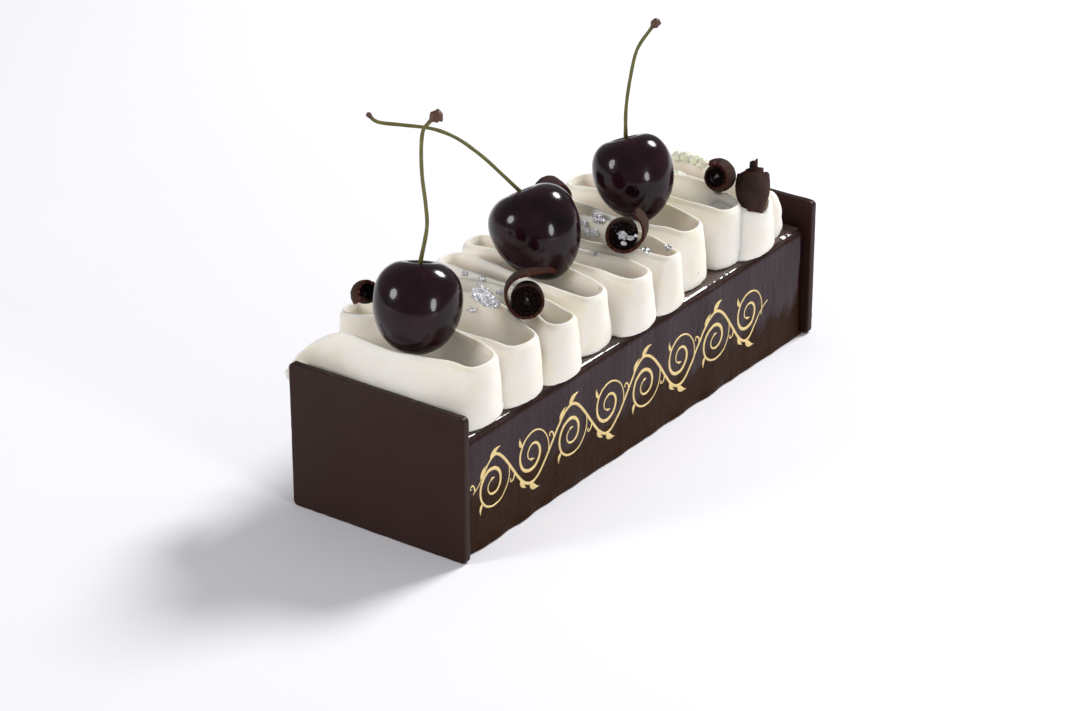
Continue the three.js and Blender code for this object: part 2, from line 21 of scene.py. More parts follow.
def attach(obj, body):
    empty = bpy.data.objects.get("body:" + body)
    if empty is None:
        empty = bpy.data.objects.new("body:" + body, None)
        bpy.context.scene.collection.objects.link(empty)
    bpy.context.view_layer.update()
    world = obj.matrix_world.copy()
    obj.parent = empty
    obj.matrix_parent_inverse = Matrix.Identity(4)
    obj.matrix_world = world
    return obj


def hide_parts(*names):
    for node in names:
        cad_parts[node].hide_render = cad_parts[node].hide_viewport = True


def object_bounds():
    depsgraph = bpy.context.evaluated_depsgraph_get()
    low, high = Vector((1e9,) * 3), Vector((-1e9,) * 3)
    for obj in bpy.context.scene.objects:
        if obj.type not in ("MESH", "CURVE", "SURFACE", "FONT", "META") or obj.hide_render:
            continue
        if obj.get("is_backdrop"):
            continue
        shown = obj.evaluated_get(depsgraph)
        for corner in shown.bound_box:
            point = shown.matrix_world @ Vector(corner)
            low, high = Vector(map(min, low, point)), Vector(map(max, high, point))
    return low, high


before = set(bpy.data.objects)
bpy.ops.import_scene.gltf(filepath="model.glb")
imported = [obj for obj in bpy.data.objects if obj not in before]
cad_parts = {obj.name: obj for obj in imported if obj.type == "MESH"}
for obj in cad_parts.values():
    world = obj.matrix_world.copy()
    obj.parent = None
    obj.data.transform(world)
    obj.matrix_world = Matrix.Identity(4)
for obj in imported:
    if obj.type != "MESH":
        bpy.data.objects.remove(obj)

MM = 0.001
CAD_BOX = [list(corner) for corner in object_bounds()]
LOG = logging.getLogger("yule_log")

# Gap round a topping in millimetres, and angles in degrees under which an edge is smooth.
CLEARANCE = 0.3
ALL_SMOOTH = 180.0
SOFT_EDGES = 60.0
TORN_EDGES = 45.0
CREASES = 30.0

Array = np.ndarray
Node = bpy.types.Node
Socket = bpy.types.NodeSocket
Material = bpy.types.Material


# ---- Numbers ----
def smoothstep(value: Array) -> Array:
    """Smooth step from 0 to 1: three times the square less twice the cube.

    Args:
        value: any numbers; they are first held between 0 and 1.

    Returns:
        The stepped values.
    """
    t = np.clip(value, 0.0, 1.0)
    return t * t * (3.0 - 2.0 * t)


def wave_noise(points: Array, wavelength: float, seed: int, waves: int = 16) -> Array:
    """Smooth seeded noise: a sum of sines, each with its own direction, pitch and phase.

    Args:
        points: array (..., dimensions) in millimetres.
        wavelength: usual distance between crests, in millimetres.
        seed: picks the draw.
        waves: how many sines are added.

    Returns:
        Noise of about -1 to 1, one value for each point.
    """
    rng = np.random.default_rng(seed)
    direction = rng.normal(size=(waves, points.shape[-1]))
    direction /= np.linalg.norm(direction, axis=1, keepdims=True)
    pitch = 2.0 * np.pi / wavelength * rng.uniform(0.65, 1.6, waves)
    phase = rng.uniform(0.0, 2.0 * np.pi, waves)
    total = np.sin(points @ (direction * pitch[:, None]).T + phase).sum(axis=-1)
    return total / math.sqrt(waves / 2.0) / 1.8


@dataclass(frozen=True)
class Waves:
    """Seeded unevenness of one kind.

    Attributes:
        size: how far it strays each way.
        length: usual distance between its crests, in millimetres.
        seed: picks its draw.
    """

    size: float
    length: float
    seed: int

    def at(self, points: Array, piece: int = 0) -> Array:
        """Its values at points; a piece's own number is added to the seed."""
        return self.size * wave_noise(points, self.length, self.seed + piece)


def spline(points: Array, steps: Array, power: float = 0.0) -> tuple[Array, Array]:
    """Catmull-Rom curve, which passes through every one of its points.

    Between points b and c, with a before and d after, each span weighs its length to the
    given power: 0 is the uniform curve, and a half the centripetal one, which never
    overshoots.  The tangent at b is (b - a)/ab - (c - a)/(ab + bc) + (c - b)/bc, times bc,
    and a cubic with the tangents at b and c joins them.  A point past each end mirrors the
    second one in the first.

    Args:
        points: array (count, dimensions).
        steps: places along the curve, counted in points, from 0 to count - 1.
        power: how much the length of a span weighs.

    Returns:
        The places on the curve and its unscaled tangents there.
    """
    padded = np.vstack([2 * points[0] - points[1], points, 2 * points[-1] - points[-2]])
    weights = np.maximum(np.linalg.norm(np.diff(padded, axis=0), axis=1), 1e-4)[:, None] ** power
    first = np.minimum(steps.astype(int), len(points) - 2)
    t = (steps - first)[:, None]
    a, b, c, d = (padded[first + shift] for shift in range(4))
    ab, bc, cd = (weights[first + shift] for shift in range(3))
    start = ((b - a) / ab - (c - a) / (ab + bc) + (c - b) / bc) * bc
    end = ((c - b) / bc - (d - b) / (bc + cd) + (d - c) / cd) * bc
    square = -3 * b + 3 * c - 2 * start - end
    cube = 2 * b - 2 * c + start + end
    return b + start * t + square * t**2 + cube * t**3, start + 2 * square * t + 3 * cube * t**2


def even_steps(points: Array, spacing: float) -> Array:
    """Places along a spline's points so that neighbours are at most one spacing apart.

    Args:
        points: array (count, dimensions).
        spacing: largest distance between neighbours.

    Returns:
        Places counted in points, every whole number among them.
    """
    chords = np.linalg.norm(np.diff(points, axis=0), axis=1)
    counts = np.maximum(np.ceil(chords / spacing).astype(int), 1)
    parts = [k + np.arange(n) / n for k, n in enumerate(counts)]
    return np.append(np.concatenate(parts), len(points) - 1.0)


def unit(vectors: Array) -> Array:
    """Vectors scaled to length one along the last axis."""
    return vectors / np.maximum(np.linalg.norm(vectors, axis=-1, keepdims=True), 1e-12)


# ---- Meshes ----
def ball_rings(bands: int, sides: int) -> Array:
    """Rings of a ball of radius 1 about the origin, from top to bottom.

    Args:
        bands: rings.
        sides: points in each ring.

    Returns:
        Array (bands, sides, 3).
    """
    polar = np.linspace(0.02, np.pi - 0.02, bands)[:, None]
    angle = (2 * np.pi * np.arange(sides) / sides)[None, :]
    flat = [np.sin(polar) * np.cos(angle), np.sin(polar) * np.sin(angle)]
    return np.stack([*flat, np.cos(polar) + 0 * angle], -1)


def loft_faces(rows: int, columns: int, start: int = 0) -> Array:
    """Four-sided faces of a closed skin through rings of one length.

    Each ring joins the next one point by point, and each end is closed by strips between
    the first half of its ring and the second half read backwards.

    Args:
        rows: number of rings.
        columns: points in each ring, an even number.
        start: index of the first point.

    Returns:
        Array (count, 4) of vertex indices.
    """
    i, j = np.meshgrid(np.arange(rows - 1), np.arange(columns), indexing="ij")
    nxt = (j + 1) % columns
    near, far = i * columns, (i + 1) * columns
    side = np.stack([near + j, near + nxt, far + nxt, far + j], -1)
    k = np.arange(columns // 2 - 1)
    cap = np.stack([k, columns - 1 - k, columns - 2 - k, k + 1], -1)
    last = cap[:, ::-1] + (rows - 1) * columns
    return np.concatenate([side.reshape(-1, 4), cap, last]) + start


def signed_volume(vertices: Array, faces: Array) -> float:
    """Volume inside closed four-sided faces, below nought if they look inwards.

    Args:
        vertices: array (count, 3).
        faces: array (count, 4).

    Returns:
        The sum over triangles of a sixth of a . (b x c).
    """
    a, b, c, d = (vertices[faces[:, k]] for k in range(4))
    first = np.einsum("ij,ij->i", a, np.cross(b, c))
    second = np.einsum("ij,ij->i", a, np.cross(c, d))
    return float((first + second).sum() / 6.0)


@dataclass
class Skin:
    """One piece's closed skins, gathered before they are written to a mesh.

    Attributes:
        vertices: arrays (count, 3) in millimetres.
        faces: arrays (count, 4) of vertex indices.
        marks: per-vertex numbers by name, one array for each skin.
    """

    vertices: list[Array] = field(default_factory=list)
    faces: list[Array] = field(default_factory=list)
    marks: dict[str, list[Array]] = field(default_factory=dict)

    def add(self, rings: Array, **marks: Array) -> "Skin":
        """Adds one closed skin through rings, turned so that its faces look outwards.

        Args:
            rings: array (rows, columns, 3) with an even number of columns.
            **marks: per-point numbers, each of shape (rows, columns).

        Returns:
            This skin, so that calls can be chained.
        """
        flat = rings.reshape(-1, 3)
        faces = loft_faces(rings.shape[0], rings.shape[1])
        if signed_volume(flat - flat.mean(axis=0), faces) < 0:
            faces = faces[:, ::-1]
        start = sum(len(part) for part in self.vertices)
        self.vertices.append(flat)
        self.faces.append(faces + start)
        for name, values in marks.items():
            self.marks.setdefault(name, []).append(np.broadcast_to(values, rings.shape[:2]).ravel())
        return self

    def build(self, name: str, material: Material, smooth_angle: float) -> bpy.types.Object:
        """Writes the skins to one mesh object at the origin.

        Args:
            name: the piece's name.
            material: its material.
            smooth_angle: edges that turn by more degrees than this stay sharp.

        Returns:
            The new object.
        """
        vertices = np.concatenate(self.vertices) * MM
        faces = np.concatenate(self.faces)
        mesh = bpy.data.meshes.new(name)
        mesh.vertices.add(len(vertices))
        mesh.vertices.foreach_set("co", vertices.astype(np.float32).ravel())
        mesh.loops.add(faces.size)
        mesh.loops.foreach_set("vertex_index", faces.astype(np.int32).ravel())
        mesh.polygons.add(len(faces))
        mesh.polygons.foreach_set("loop_start", np.arange(0, faces.size, 4, dtype=np.int32))
        mesh.update(calc_edges=True)
        mesh.validate()
        for mark, parts in self.marks.items():
            attribute = mesh.attributes.new(mark, "FLOAT", "POINT")
            attribute.data.foreach_set("value", np.concatenate(parts).astype(np.float32))
        mesh.polygons.foreach_set("use_smooth", np.ones(len(mesh.polygons), bool))
        mesh.set_sharp_from_angle(angle=math.radians(smooth_angle))
        mesh.materials.append(material)
        piece = bpy.data.objects.new(name, mesh)
        bpy.context.scene.collection.objects.link(piece)
        return piece


def tube_rings(centres: Array, radii: Array, sides: int) -> Array:
    """Rings of a round rod along a path, kept from twisting by one fixed helper direction.

    Args:
        centres: array (count, 3), the path.
        radii: one radius for each centre.
        sides: points in each ring, an even number.

    Returns:
        Array (count, sides, 3).
    """
    tangent = unit(np.gradient(centres, axis=0))
    across = unit(np.cross(tangent, np.array([0.31, 0.9, 0.05])))
    upward = np.cross(tangent, across)
    angle = 2.0 * np.pi * np.arange(sides) / sides
    wide = radii[:, None, None] * np.cos(angle)[None, :, None] * across[:, None, :]
    deep = radii[:, None, None] * np.sin(angle)[None, :, None] * upward[:, None, :]
    return centres[:, None, :] + wide + deep


# ---- Shader groups and materials ----
@dataclass
class Wiring:
    """A node tree with short ways to add and join nodes."""

    tree: bpy.types.NodeTree

    def node(self, kind: str, **settings: object) -> Node:
        """Adds a node and sets its properties.

        Args:
            kind: the node's Blender type, such as "ShaderNodeMath".
            **settings: property values; a name that starts with "in_" feeds an input.

        Returns:
            The new node.
        """
        made = self.tree.nodes.new(kind)
        for name, value in settings.items():
            if name.startswith("in_"):
                self.feed(value, made.inputs[name[3:].replace("_", " ")])
            else:
                setattr(made, name, value)
        return made

    def join(self, source: Socket, target: Socket) -> None:
        """Links one socket to another."""
        self.tree.links.new(source, target)

    def feed(self, value: object, target: Socket) -> None:
        """Links a socket to another, or sets the other's number."""
        if isinstance(value, Socket):
            self.join(value, target)
        else:
            target.default_value = value

    def math(self, operation: str, *values: Socket | float, clamp: bool = False) -> Socket:
        """Works out one operation on sockets or numbers and returns the result's socket."""
        made = self.node("ShaderNodeMath", operation=operation, use_clamp=clamp)
        for value, target in zip(values, made.inputs):
            self.feed(value, target)
        return made.outputs[0]


class Effect(Enum):
    """Shader groups that several materials share."""

    MOTTLE = "mottle"
    RELIEF = "relief"
    SPECKS = "specks"


def group_shell(effect: Effect, inputs: dict[str, float], output: str) -> tuple[Wiring, Node, Node]:
    """Starts a shader group: a vector input, number inputs with their defaults, an output.

    Args:
        effect: which effect it is.
        inputs: number inputs and their default values.
        output: name of its number output.

    Returns:
        The group's wiring, its input node and its output node.
    """
    tree = bpy.data.node_groups.new(effect.value, "ShaderNodeTree")
    tree.interface.new_socket("Vector", in_out="INPUT", socket_type="NodeSocketVector")
    for name, value in inputs.items():
        socket = tree.interface.new_socket(name, in_out="INPUT", socket_type="NodeSocketFloat")
        socket.default_value = value
    tree.interface.new_socket(output, in_out="OUTPUT", socket_type="NodeSocketFloat")
    wiring = Wiring(tree)
    return wiring, wiring.node("NodeGroupInput"), wiring.node("NodeGroupOutput")


def mottle_group() -> None:
    """Soft blotches from 0 to 1: noise at the size Scale, its middle stretched by Contrast."""
    inputs = {"Scale": 100.0, "Detail": 4.0, "Contrast": 1.6}
    wiring, start, end = group_shell(Effect.MOTTLE, inputs, "Mask")
    given = start.outputs
    noise = wiring.node(
        "ShaderNodeTexNoise", in_Vector=given["Vector"], in_Scale=given["Scale"], in_Detail=given["Detail"]
    )
    shifted = wiring.math("SUBTRACT", noise.outputs["Fac"], 0.5)
    stretched = wiring.math("MULTIPLY", shifted, given["Contrast"])
    wiring.join(wiring.math("ADD", stretched, 0.5, clamp=True), end.inputs["Mask"])


def relief_group() -> None:
    """Height of a fine surface: coarse noise, plus a share Fine of noise five times finer."""
    wiring, start, end = group_shell(Effect.RELIEF, {"Scale": 300.0, "Fine": 0.4}, "Height")
    given = start.outputs
    finer = wiring.math("MULTIPLY", given["Scale"], 5.0)
    coarse, fine = (
        wiring.node("ShaderNodeTexNoise", in_Vector=given["Vector"], in_Scale=scale, in_Detail=detail)
        for scale, detail in ((given["Scale"], 2.0), (finer, 3.0))
    )
    height = wiring.math("MULTIPLY_ADD", fine.outputs["Fac"], given["Fine"], coarse.outputs["Fac"])
    wiring.join(height, end.inputs["Height"])


def specks_group() -> None:
    """Sparse round dots: 1 within Radius of a scattered point, for a share Amount of them."""
    inputs = {"Scale": 400.0, "Radius": 0.2, "Amount": 0.1}
    wiring, start, end = group_shell(Effect.SPECKS, inputs, "Mask")
    given = start.outputs
    cells = wiring.node("ShaderNodeTexVoronoi", in_Vector=given["Vector"], in_Scale=given["Scale"])
    near = wiring.math("LESS_THAN", cells.outputs["Distance"], given["Radius"])
    shade = wiring.node("ShaderNodeSeparateColor", in_Color=cells.outputs["Color"])
    few = wiring.math("LESS_THAN", shade.outputs[0], given["Amount"])
    wiring.join(wiring.math("MULTIPLY", near, few), end.inputs["Mask"])


def make_groups() -> None:
    """Builds every shared shader group once."""
    mottle_group()
    relief_group()
    specks_group()


@dataclass(frozen=True)
class Finish:
    """What all finishes have: a name, a base colour and the plain shader numbers.

    Attributes:
        name: the material's name.
        colour: linear red, green and blue.
        roughness: the shader's roughness.
        specular: the shader's specular level.
        coat: coat weight.
        coat_roughness: coat roughness.
        metallic: metallic share.
        scatter: share of the light that goes into it.
        travel: how far red, green and blue light travels in it, beside its depth.
        depth: the greatest way of light in it, in metres.
    """

    name: str
    colour: tuple[float, float, float]
    roughness: float = 0.5
    specular: float = 0.5
    coat: float = 0.0
    coat_roughness: float = 0.03
    metallic: float = 0.0
    scatter: float = 0.0
    travel: tuple[float, float, float] = (1.0, 1.0, 1.0)
    depth: float = 0.0

    def start(self) -> tuple[Material, Wiring, Node, Socket]:
        """Makes the material with its plain numbers set.

        Returns:
            The material, its wiring, its Principled shader and the Object coordinates.
        """
        material = bpy.data.materials.new(self.name)
        material.use_nodes = True
        wiring = Wiring(material.node_tree)
        shader = material.node_tree.nodes["Principled BSDF"]
        shader.inputs["Base Color"].default_value = (*self.colour, 1.0)
        shader.inputs["Roughness"].default_value = self.roughness
        shader.inputs["Specular IOR Level"].default_value = self.specular
        shader.inputs["Coat Weight"].default_value = self.coat
        shader.inputs["Coat Roughness"].default_value = self.coat_roughness
        shader.inputs["Metallic"].default_value = self.metallic
        if self.scatter > 0.0:
            shader.inputs["Subsurface Weight"].default_value = self.scatter
            shader.inputs["Subsurface Radius"].default_value = self.travel
            shader.inputs["Subsurface Scale"].default_value = self.depth
        place = wiring.node("ShaderNodeTexCoord").outputs["Object"]
        return material, wiring, shader, place

    @staticmethod
    def effect(wiring: Wiring, effect: Effect, place: Socket, **values: float) -> Socket:
        """Places one shared group.

        Args:
            wiring: the material's wiring.
            effect: which group.
            place: the coordinates it reads.
            **values: numbers for its inputs.

        Returns:
            Its output socket.
        """
        settings = {f"in_{name}": value for name, value in values.items()}
        tree = bpy.data.node_groups[effect.value]
        return wiring.node("ShaderNodeGroup", node_tree=tree, in_Vector=place, **settings).outputs[0]

    @staticmethod
    def tint(wiring: Wiring, mask: Socket, low: object, high: object) -> Socket:
        """Mixes two colours by a mask.

        Args:
            wiring: the material's wiring.
            mask: 0 gives the low colour and 1 the high one.
            low: a colour, or a socket that holds one.
            high: a colour, or a socket that holds one.

        Returns:
            The mixed colour's socket.
        """
        mix = wiring.node("ShaderNodeMix", data_type="RGBA", in_Factor=mask)
        for key, value in (("A", low), ("B", high)):
            socket = next(s for s in mix.inputs if s.name == key and s.type == "RGBA")
            wiring.feed(value if isinstance(value, Socket) else (*value, 1.0), socket)
        return next(s for s in mix.outputs if s.type == "RGBA")

    @staticmethod
    def span(
        wiring: Wiring, value: Socket, low: float, high: float, start: float = 0.0, end: float = 1.0
    ) -> Socket:
        """Maps a value from start and end to low and high, held between them."""
        ends = {"in_From_Min": start, "in_From_Max": end, "in_To_Min": low, "in_To_Max": high}
        return wiring.node("ShaderNodeMapRange", in_Value=value, **ends).outputs["Result"]

    @staticmethod
    def weighed(wiring: Wiring, value: Socket, weight: float, base: Socket) -> Socket:
        """The value times its weight, plus the base."""
        return wiring.math("MULTIPLY_ADD", value, weight, base)

    @staticmethod
    def bump(wiring: Wiring, shader: Node, height: Socket, strength: float, distance: float) -> None:
        """Raises the surface by a height.

        Args:
            wiring: the material's wiring.
            shader: the Principled shader.
            height: the height's socket.
            strength: how much of it shows.
            distance: metres for a height of one.
        """
        made = wiring.node("ShaderNodeBump", in_Strength=strength, in_Distance=distance, in_Height=height)
        wiring.join(made.outputs["Normal"], shader.inputs["Normal"])


@dataclass(frozen=True)
class GlazeFinish(Finish):
    """Dark glaze with slanted ripples: violet-brown gloss high up, and low down a duller brown that is a
    painted reflection of a wooden board.

    Each pair of heights is in metres, and the look turns from one to the next between them. High up the
    glaze's dark red-brown has a violet cast that is partly a painted reflection of pale violet surroundings.

    Attributes:
        painted_board_reflection: linear colour near the foot, a painted reflection of a wooden board.
        edge: linear colour of the rounded edge, a painted dark reflection.
        top: linear colour of the level top, a painted sheen.
        border: heights where the foot turns into the side.
        lip: heights where the side turns into the rounded edge.
        crest: heights where the edge turns glossy and smooth.
        level: heights where the edge turns into the top.
        fray: how far the border strays, in metres.
        fall: how much lower the border lies for each metre along the log.
        gloss: coat weight at the foot and high up.
        lip_dulling: coat weight that the edge lacks.
        crest_gloss: coat weight that the crest adds.
        crest_calm: share of the ripples that the crest lacks.
        slant: lean of the ripples, in radians.
        streak: how much longer than wide the ripples are.
    """

    painted_board_reflection: tuple[float, float, float] = (0.027, 0.0092, 0.0018)
    edge: tuple[float, float, float] = (0.024, 0.0070, 0.0045)
    top: tuple[float, float, float] = (0.095, 0.062, 0.052)
    border: tuple[float, float] = (0.0220, 0.0270)
    lip: tuple[float, float] = (0.0388, 0.0398)
    crest: tuple[float, float] = (0.0405, 0.0408)
    level: tuple[float, float] = (0.0414, 0.0419)
    fray: float = 0.014
    fall: float = 0.03
    gloss: tuple[float, float] = (0.0, 0.36)
    lip_dulling: float = 0.30
    crest_gloss: float = 0.85
    crest_calm: float = 0.72
    slant: float = 0.70
    streak: float = 2.3

    def material(self) -> Material:
        """Builds the material and returns it."""
        material, wiring, shader, place = self.start()
        axes = wiring.node("ShaderNodeSeparateXYZ", in_Vector=place)
        along, height = axes.outputs["Y"], axes.outputs["Z"]
        streaks = wiring.node(
            "ShaderNodeMapping",
            vector_type="TEXTURE",
            in_Scale=(1.0, 1.0, self.streak),
            in_Rotation=(-self.slant, 0.0, 0.0),
            in_Vector=place,
        ).outputs["Vector"]
        frayed = self.effect(wiring, Effect.MOTTLE, streaks, Scale=170.0, Detail=6.0, Contrast=1.8)
        strayed = self.weighed(wiring, along, self.fall, self.weighed(wiring, frayed, self.fray, height))
        upper = self.span(wiring, strayed, 0.0, 1.0, *self.border)
        zones = (self.lip, self.crest, self.level)
        lip, crest, top = (self.span(wiring, height, 0.0, 1.0, *zone) for zone in zones)
        # Low down the side takes a brown that is a painted reflection of a wooden board.
        side = self.tint(wiring, upper, self.painted_board_reflection, self.colour)
        # The rounded edge takes a dark red-brown that is a painted dark reflection.
        edged = self.tint(wiring, lip, side, self.edge)
        # The level top takes a paler brown that is a painted sheen.
        wiring.join(self.tint(wiring, top, edged, self.top), shader.inputs["Base Color"])
        sheen = self.span(wiring, upper, *self.gloss)
        dulled = self.weighed(wiring, lip, -self.lip_dulling, sheen)
        wiring.join(self.weighed(wiring, crest, self.crest_gloss, dulled), shader.inputs["Coat Weight"])
        ripple = self.effect(wiring, Effect.RELIEF, streaks, Scale=1050.0, Fine=0.4)
        calmed = wiring.math("MULTIPLY", ripple, self.span(wiring, crest, 1.0, 1.0 - self.crest_calm))
        self.bump(wiring, shader, calmed, strength=0.9, distance=0.00034)
        return material


@dataclass(frozen=True)
class PlaqueFinish(Finish):
    """Tempered dark chocolate with a satin face, faint clouds and a few tiny pits.

    Attributes:
        cloud: linear colour of the clouds.
        uneven: how much smoother and rougher than its roughness it is.
        pit_depth: how deep the pits are, beside the grain's height.
    """

    cloud: tuple[float, float, float] = (0.031, 0.013, 0.0095)
    uneven: tuple[float, float] = (0.05, 0.07)
    pit_depth: float = 0.9

    def material(self) -> Material:
        """Builds the material and returns it."""
        material, wiring, shader, place = self.start()
        clouds = self.effect(wiring, Effect.MOTTLE, place, Scale=34.0, Detail=5.0, Contrast=1.8)
        wiring.join(self.tint(wiring, clouds, self.colour, self.cloud), shader.inputs["Base Color"])
        smoother, rougher = self.uneven
        rough = self.span(wiring, clouds, self.roughness - smoother, self.roughness + rougher)
        wiring.join(rough, shader.inputs["Roughness"])
        grain = self.effect(wiring, Effect.RELIEF, place, Scale=260.0, Fine=0.5)
        pits = self.effect(wiring, Effect.SPECKS, place, Scale=330.0, Radius=0.13, Amount=0.05)
        depth = self.weighed(wiring, pits, -self.pit_depth, grain)
        self.bump(wiring, shader, depth, strength=0.25, distance=0.0001)
        return material


@dataclass(frozen=True)
class CreamFinish(Finish):
    """Whipped ivory cream: soft light through it, fine pores, yellow blushes, dark specks.

    Attributes:
        blush: linear colour of the faint yellow patches.
        blushing: values of the blotches between which a patch grows.
        blush_share: how much of the blush a patch shows.
        speck: linear colour of the vanilla specks.
    """

    blush: tuple[float, float, float] = (0.84, 0.79, 0.64)
    blushing: tuple[float, float] = (0.72, 1.0)
    blush_share: float = 0.5
    speck: tuple[float, float, float] = (0.10, 0.06, 0.03)

    def material(self) -> Material:
        """Builds the material and returns it."""
        material, wiring, shader, place = self.start()
        blotch = self.effect(wiring, Effect.MOTTLE, place, Scale=70.0, Detail=3.0, Contrast=4.5)
        patch = self.span(wiring, blotch, 0.0, self.blush_share, *self.blushing)
        base = self.tint(wiring, patch, self.colour, self.blush)
        specks = self.effect(wiring, Effect.SPECKS, place, Scale=300.0, Radius=0.075, Amount=0.045)
        wiring.join(self.tint(wiring, specks, base, self.speck), shader.inputs["Base Color"])
        pores = self.effect(wiring, Effect.RELIEF, place, Scale=380.0, Fine=0.5)
        self.bump(wiring, shader, pores, strength=0.22, distance=0.0002)
        return material


@dataclass(frozen=True)
class CherryFinish(Finish):
    """Taut black-red skin under a clear gloss, with pinpricks and faint red clouds.

    Attributes:
        cloud: linear colour of the clouds.
        prick: how high the pinpricks are, beside the skin's own grain.
    """

    cloud: tuple[float, float, float] = (0.022, 0.005, 0.010)
    prick: float = 0.35

    def material(self) -> Material:
        """Builds the material and returns it."""
        material, wiring, shader, place = self.start()
        clouds = self.effect(wiring, Effect.MOTTLE, place, Scale=120.0, Detail=4.0, Contrast=2.2)
        wiring.join(self.tint(wiring, clouds, self.colour, self.cloud), shader.inputs["Base Color"])
        dots = self.effect(wiring, Effect.SPECKS, place, Scale=900.0, Radius=0.22, Amount=0.5)
        grain = self.effect(wiring, Effect.RELIEF, place, Scale=1500.0, Fine=0.5)
        height = self.weighed(wiring, dots, self.prick, grain)
        self.bump(wiring, shader, height, strength=0.6, distance=0.00005)
        return material


@dataclass(frozen=True)
class StemFinish(Finish):
    """Olive stalk that turns brown towards its knob, read from the mesh's own mark.

    Attributes:
        brown: linear colour of the knob.
        shade: brightness of its darker patches.
    """

    brown: tuple[float, float, float] = (0.10, 0.045, 0.028)
    shade: float = 0.55

    def material(self) -> Material:
        """Builds the material and returns it."""
        material, wiring, shader, place = self.start()
        mark = wiring.node("ShaderNodeAttribute", attribute_name="knob").outputs["Fac"]
        clouds = self.effect(wiring, Effect.MOTTLE, place, Scale=420.0, Detail=3.0, Contrast=2.0)
        darker = tuple(self.shade * part for part in self.colour)
        stalk = self.tint(wiring, clouds, darker, self.colour)
        wiring.join(self.tint(wiring, mark, stalk, self.brown), shader.inputs["Base Color"])
        grain = self.effect(wiring, Effect.RELIEF, place, Scale=900.0, Fine=0.5)
        self.bump(wiring, shader, grain, strength=0.5, distance=0.0002)
        return material


@dataclass(frozen=True)
class CurlFinish(Finish):
    """Shaved chocolate: dull outside, glossy inside under near-black painted shade, red-brown where it is
    torn.

    Attributes:
        inside: near-black colour of the inner face and the covered turns, painted shade of the roll's hollow.
        torn: linear colour of the thin torn edges; on the inner turns' rims it is kept faint, leaving them
            dark as painted shade.
        paler: brightness of the outer face's pale patches.
        smoothness: roughness of the inner face.
    """

    inside: tuple[float, float, float] = (0.0016, 0.0008, 0.0008)
    torn: tuple[float, float, float] = (0.085, 0.022, 0.014)
    paler: float = 1.7
    smoothness: float = 0.30

    def material(self) -> Material:
        """Builds the material and returns it."""
        material, wiring, shader, place = self.start()
        inner = wiring.node("ShaderNodeAttribute", attribute_name="inner").outputs["Fac"]
        edge = wiring.node("ShaderNodeAttribute", attribute_name="edge").outputs["Fac"]
        clouds = self.effect(wiring, Effect.MOTTLE, place, Scale=300.0, Detail=4.0, Contrast=2.0)
        pale = tuple(self.paler * part for part in self.colour)
        outer = self.tint(wiring, clouds, self.colour, pale)
        # The roll's hollow is painted near black as shade.
        faces = self.tint(wiring, inner, outer, self.inside)
        wiring.join(self.tint(wiring, edge, faces, self.torn), shader.inputs["Base Color"])
        wiring.join(self.span(wiring, inner, self.roughness, self.smoothness), shader.inputs["Roughness"])
        grain = self.effect(wiring, Effect.RELIEF, place, Scale=900.0, Fine=0.6)
        self.bump(wiring, shader, grain, strength=0.4, distance=0.00012)
        return material


@dataclass(frozen=True)
class FoilFinish(Finish):
    """Beaten metal leaf: bright, finely wrinkled and a little uneven in gloss.

    Attributes:
        wrinkle: fineness of its wrinkles.
        dulling: how much rougher than its roughness it gets.
    """

    wrinkle: float = 1400.0
    dulling: float = 0.25

    def material(self) -> Material:
        """Builds the material and returns it."""
        material, wiring, shader, place = self.start()
        clouds = self.effect(wiring, Effect.MOTTLE, place, Scale=700.0, Detail=3.0, Contrast=2.0)
        rough = self.span(wiring, clouds, self.roughness, self.roughness + self.dulling)
        wiring.join(rough, shader.inputs["Roughness"])
        height = self.effect(wiring, Effect.RELIEF, place, Scale=self.wrinkle, Fine=0.6)
        self.bump(wiring, shader, height, strength=0.8, distance=0.00025)
        return material


@dataclass(frozen=True)
class SugarFinish(Finish):
    """Pale, half-clear sugar: soft light through greenish-yellow grains.

    Attributes:
        deeper: share of red, green and blue that its deeper patches keep.
    """

    deeper: tuple[float, float, float] = (0.9, 0.9, 0.78)

    def material(self) -> Material:
        """Builds the material and returns it."""
        material, wiring, shader, place = self.start()
        clouds = self.effect(wiring, Effect.MOTTLE, place, Scale=500.0, Detail=3.0, Contrast=2.0)
        deep = tuple(part * kept for part, kept in zip(self.colour, self.deeper))
        wiring.join(self.tint(wiring, clouds, deep, self.colour), shader.inputs["Base Color"])
        height = self.effect(wiring, Effect.RELIEF, place, Scale=900.0, Fine=0.6)
        self.bump(wiring, shader, height, strength=0.6, distance=0.0003)
        return material


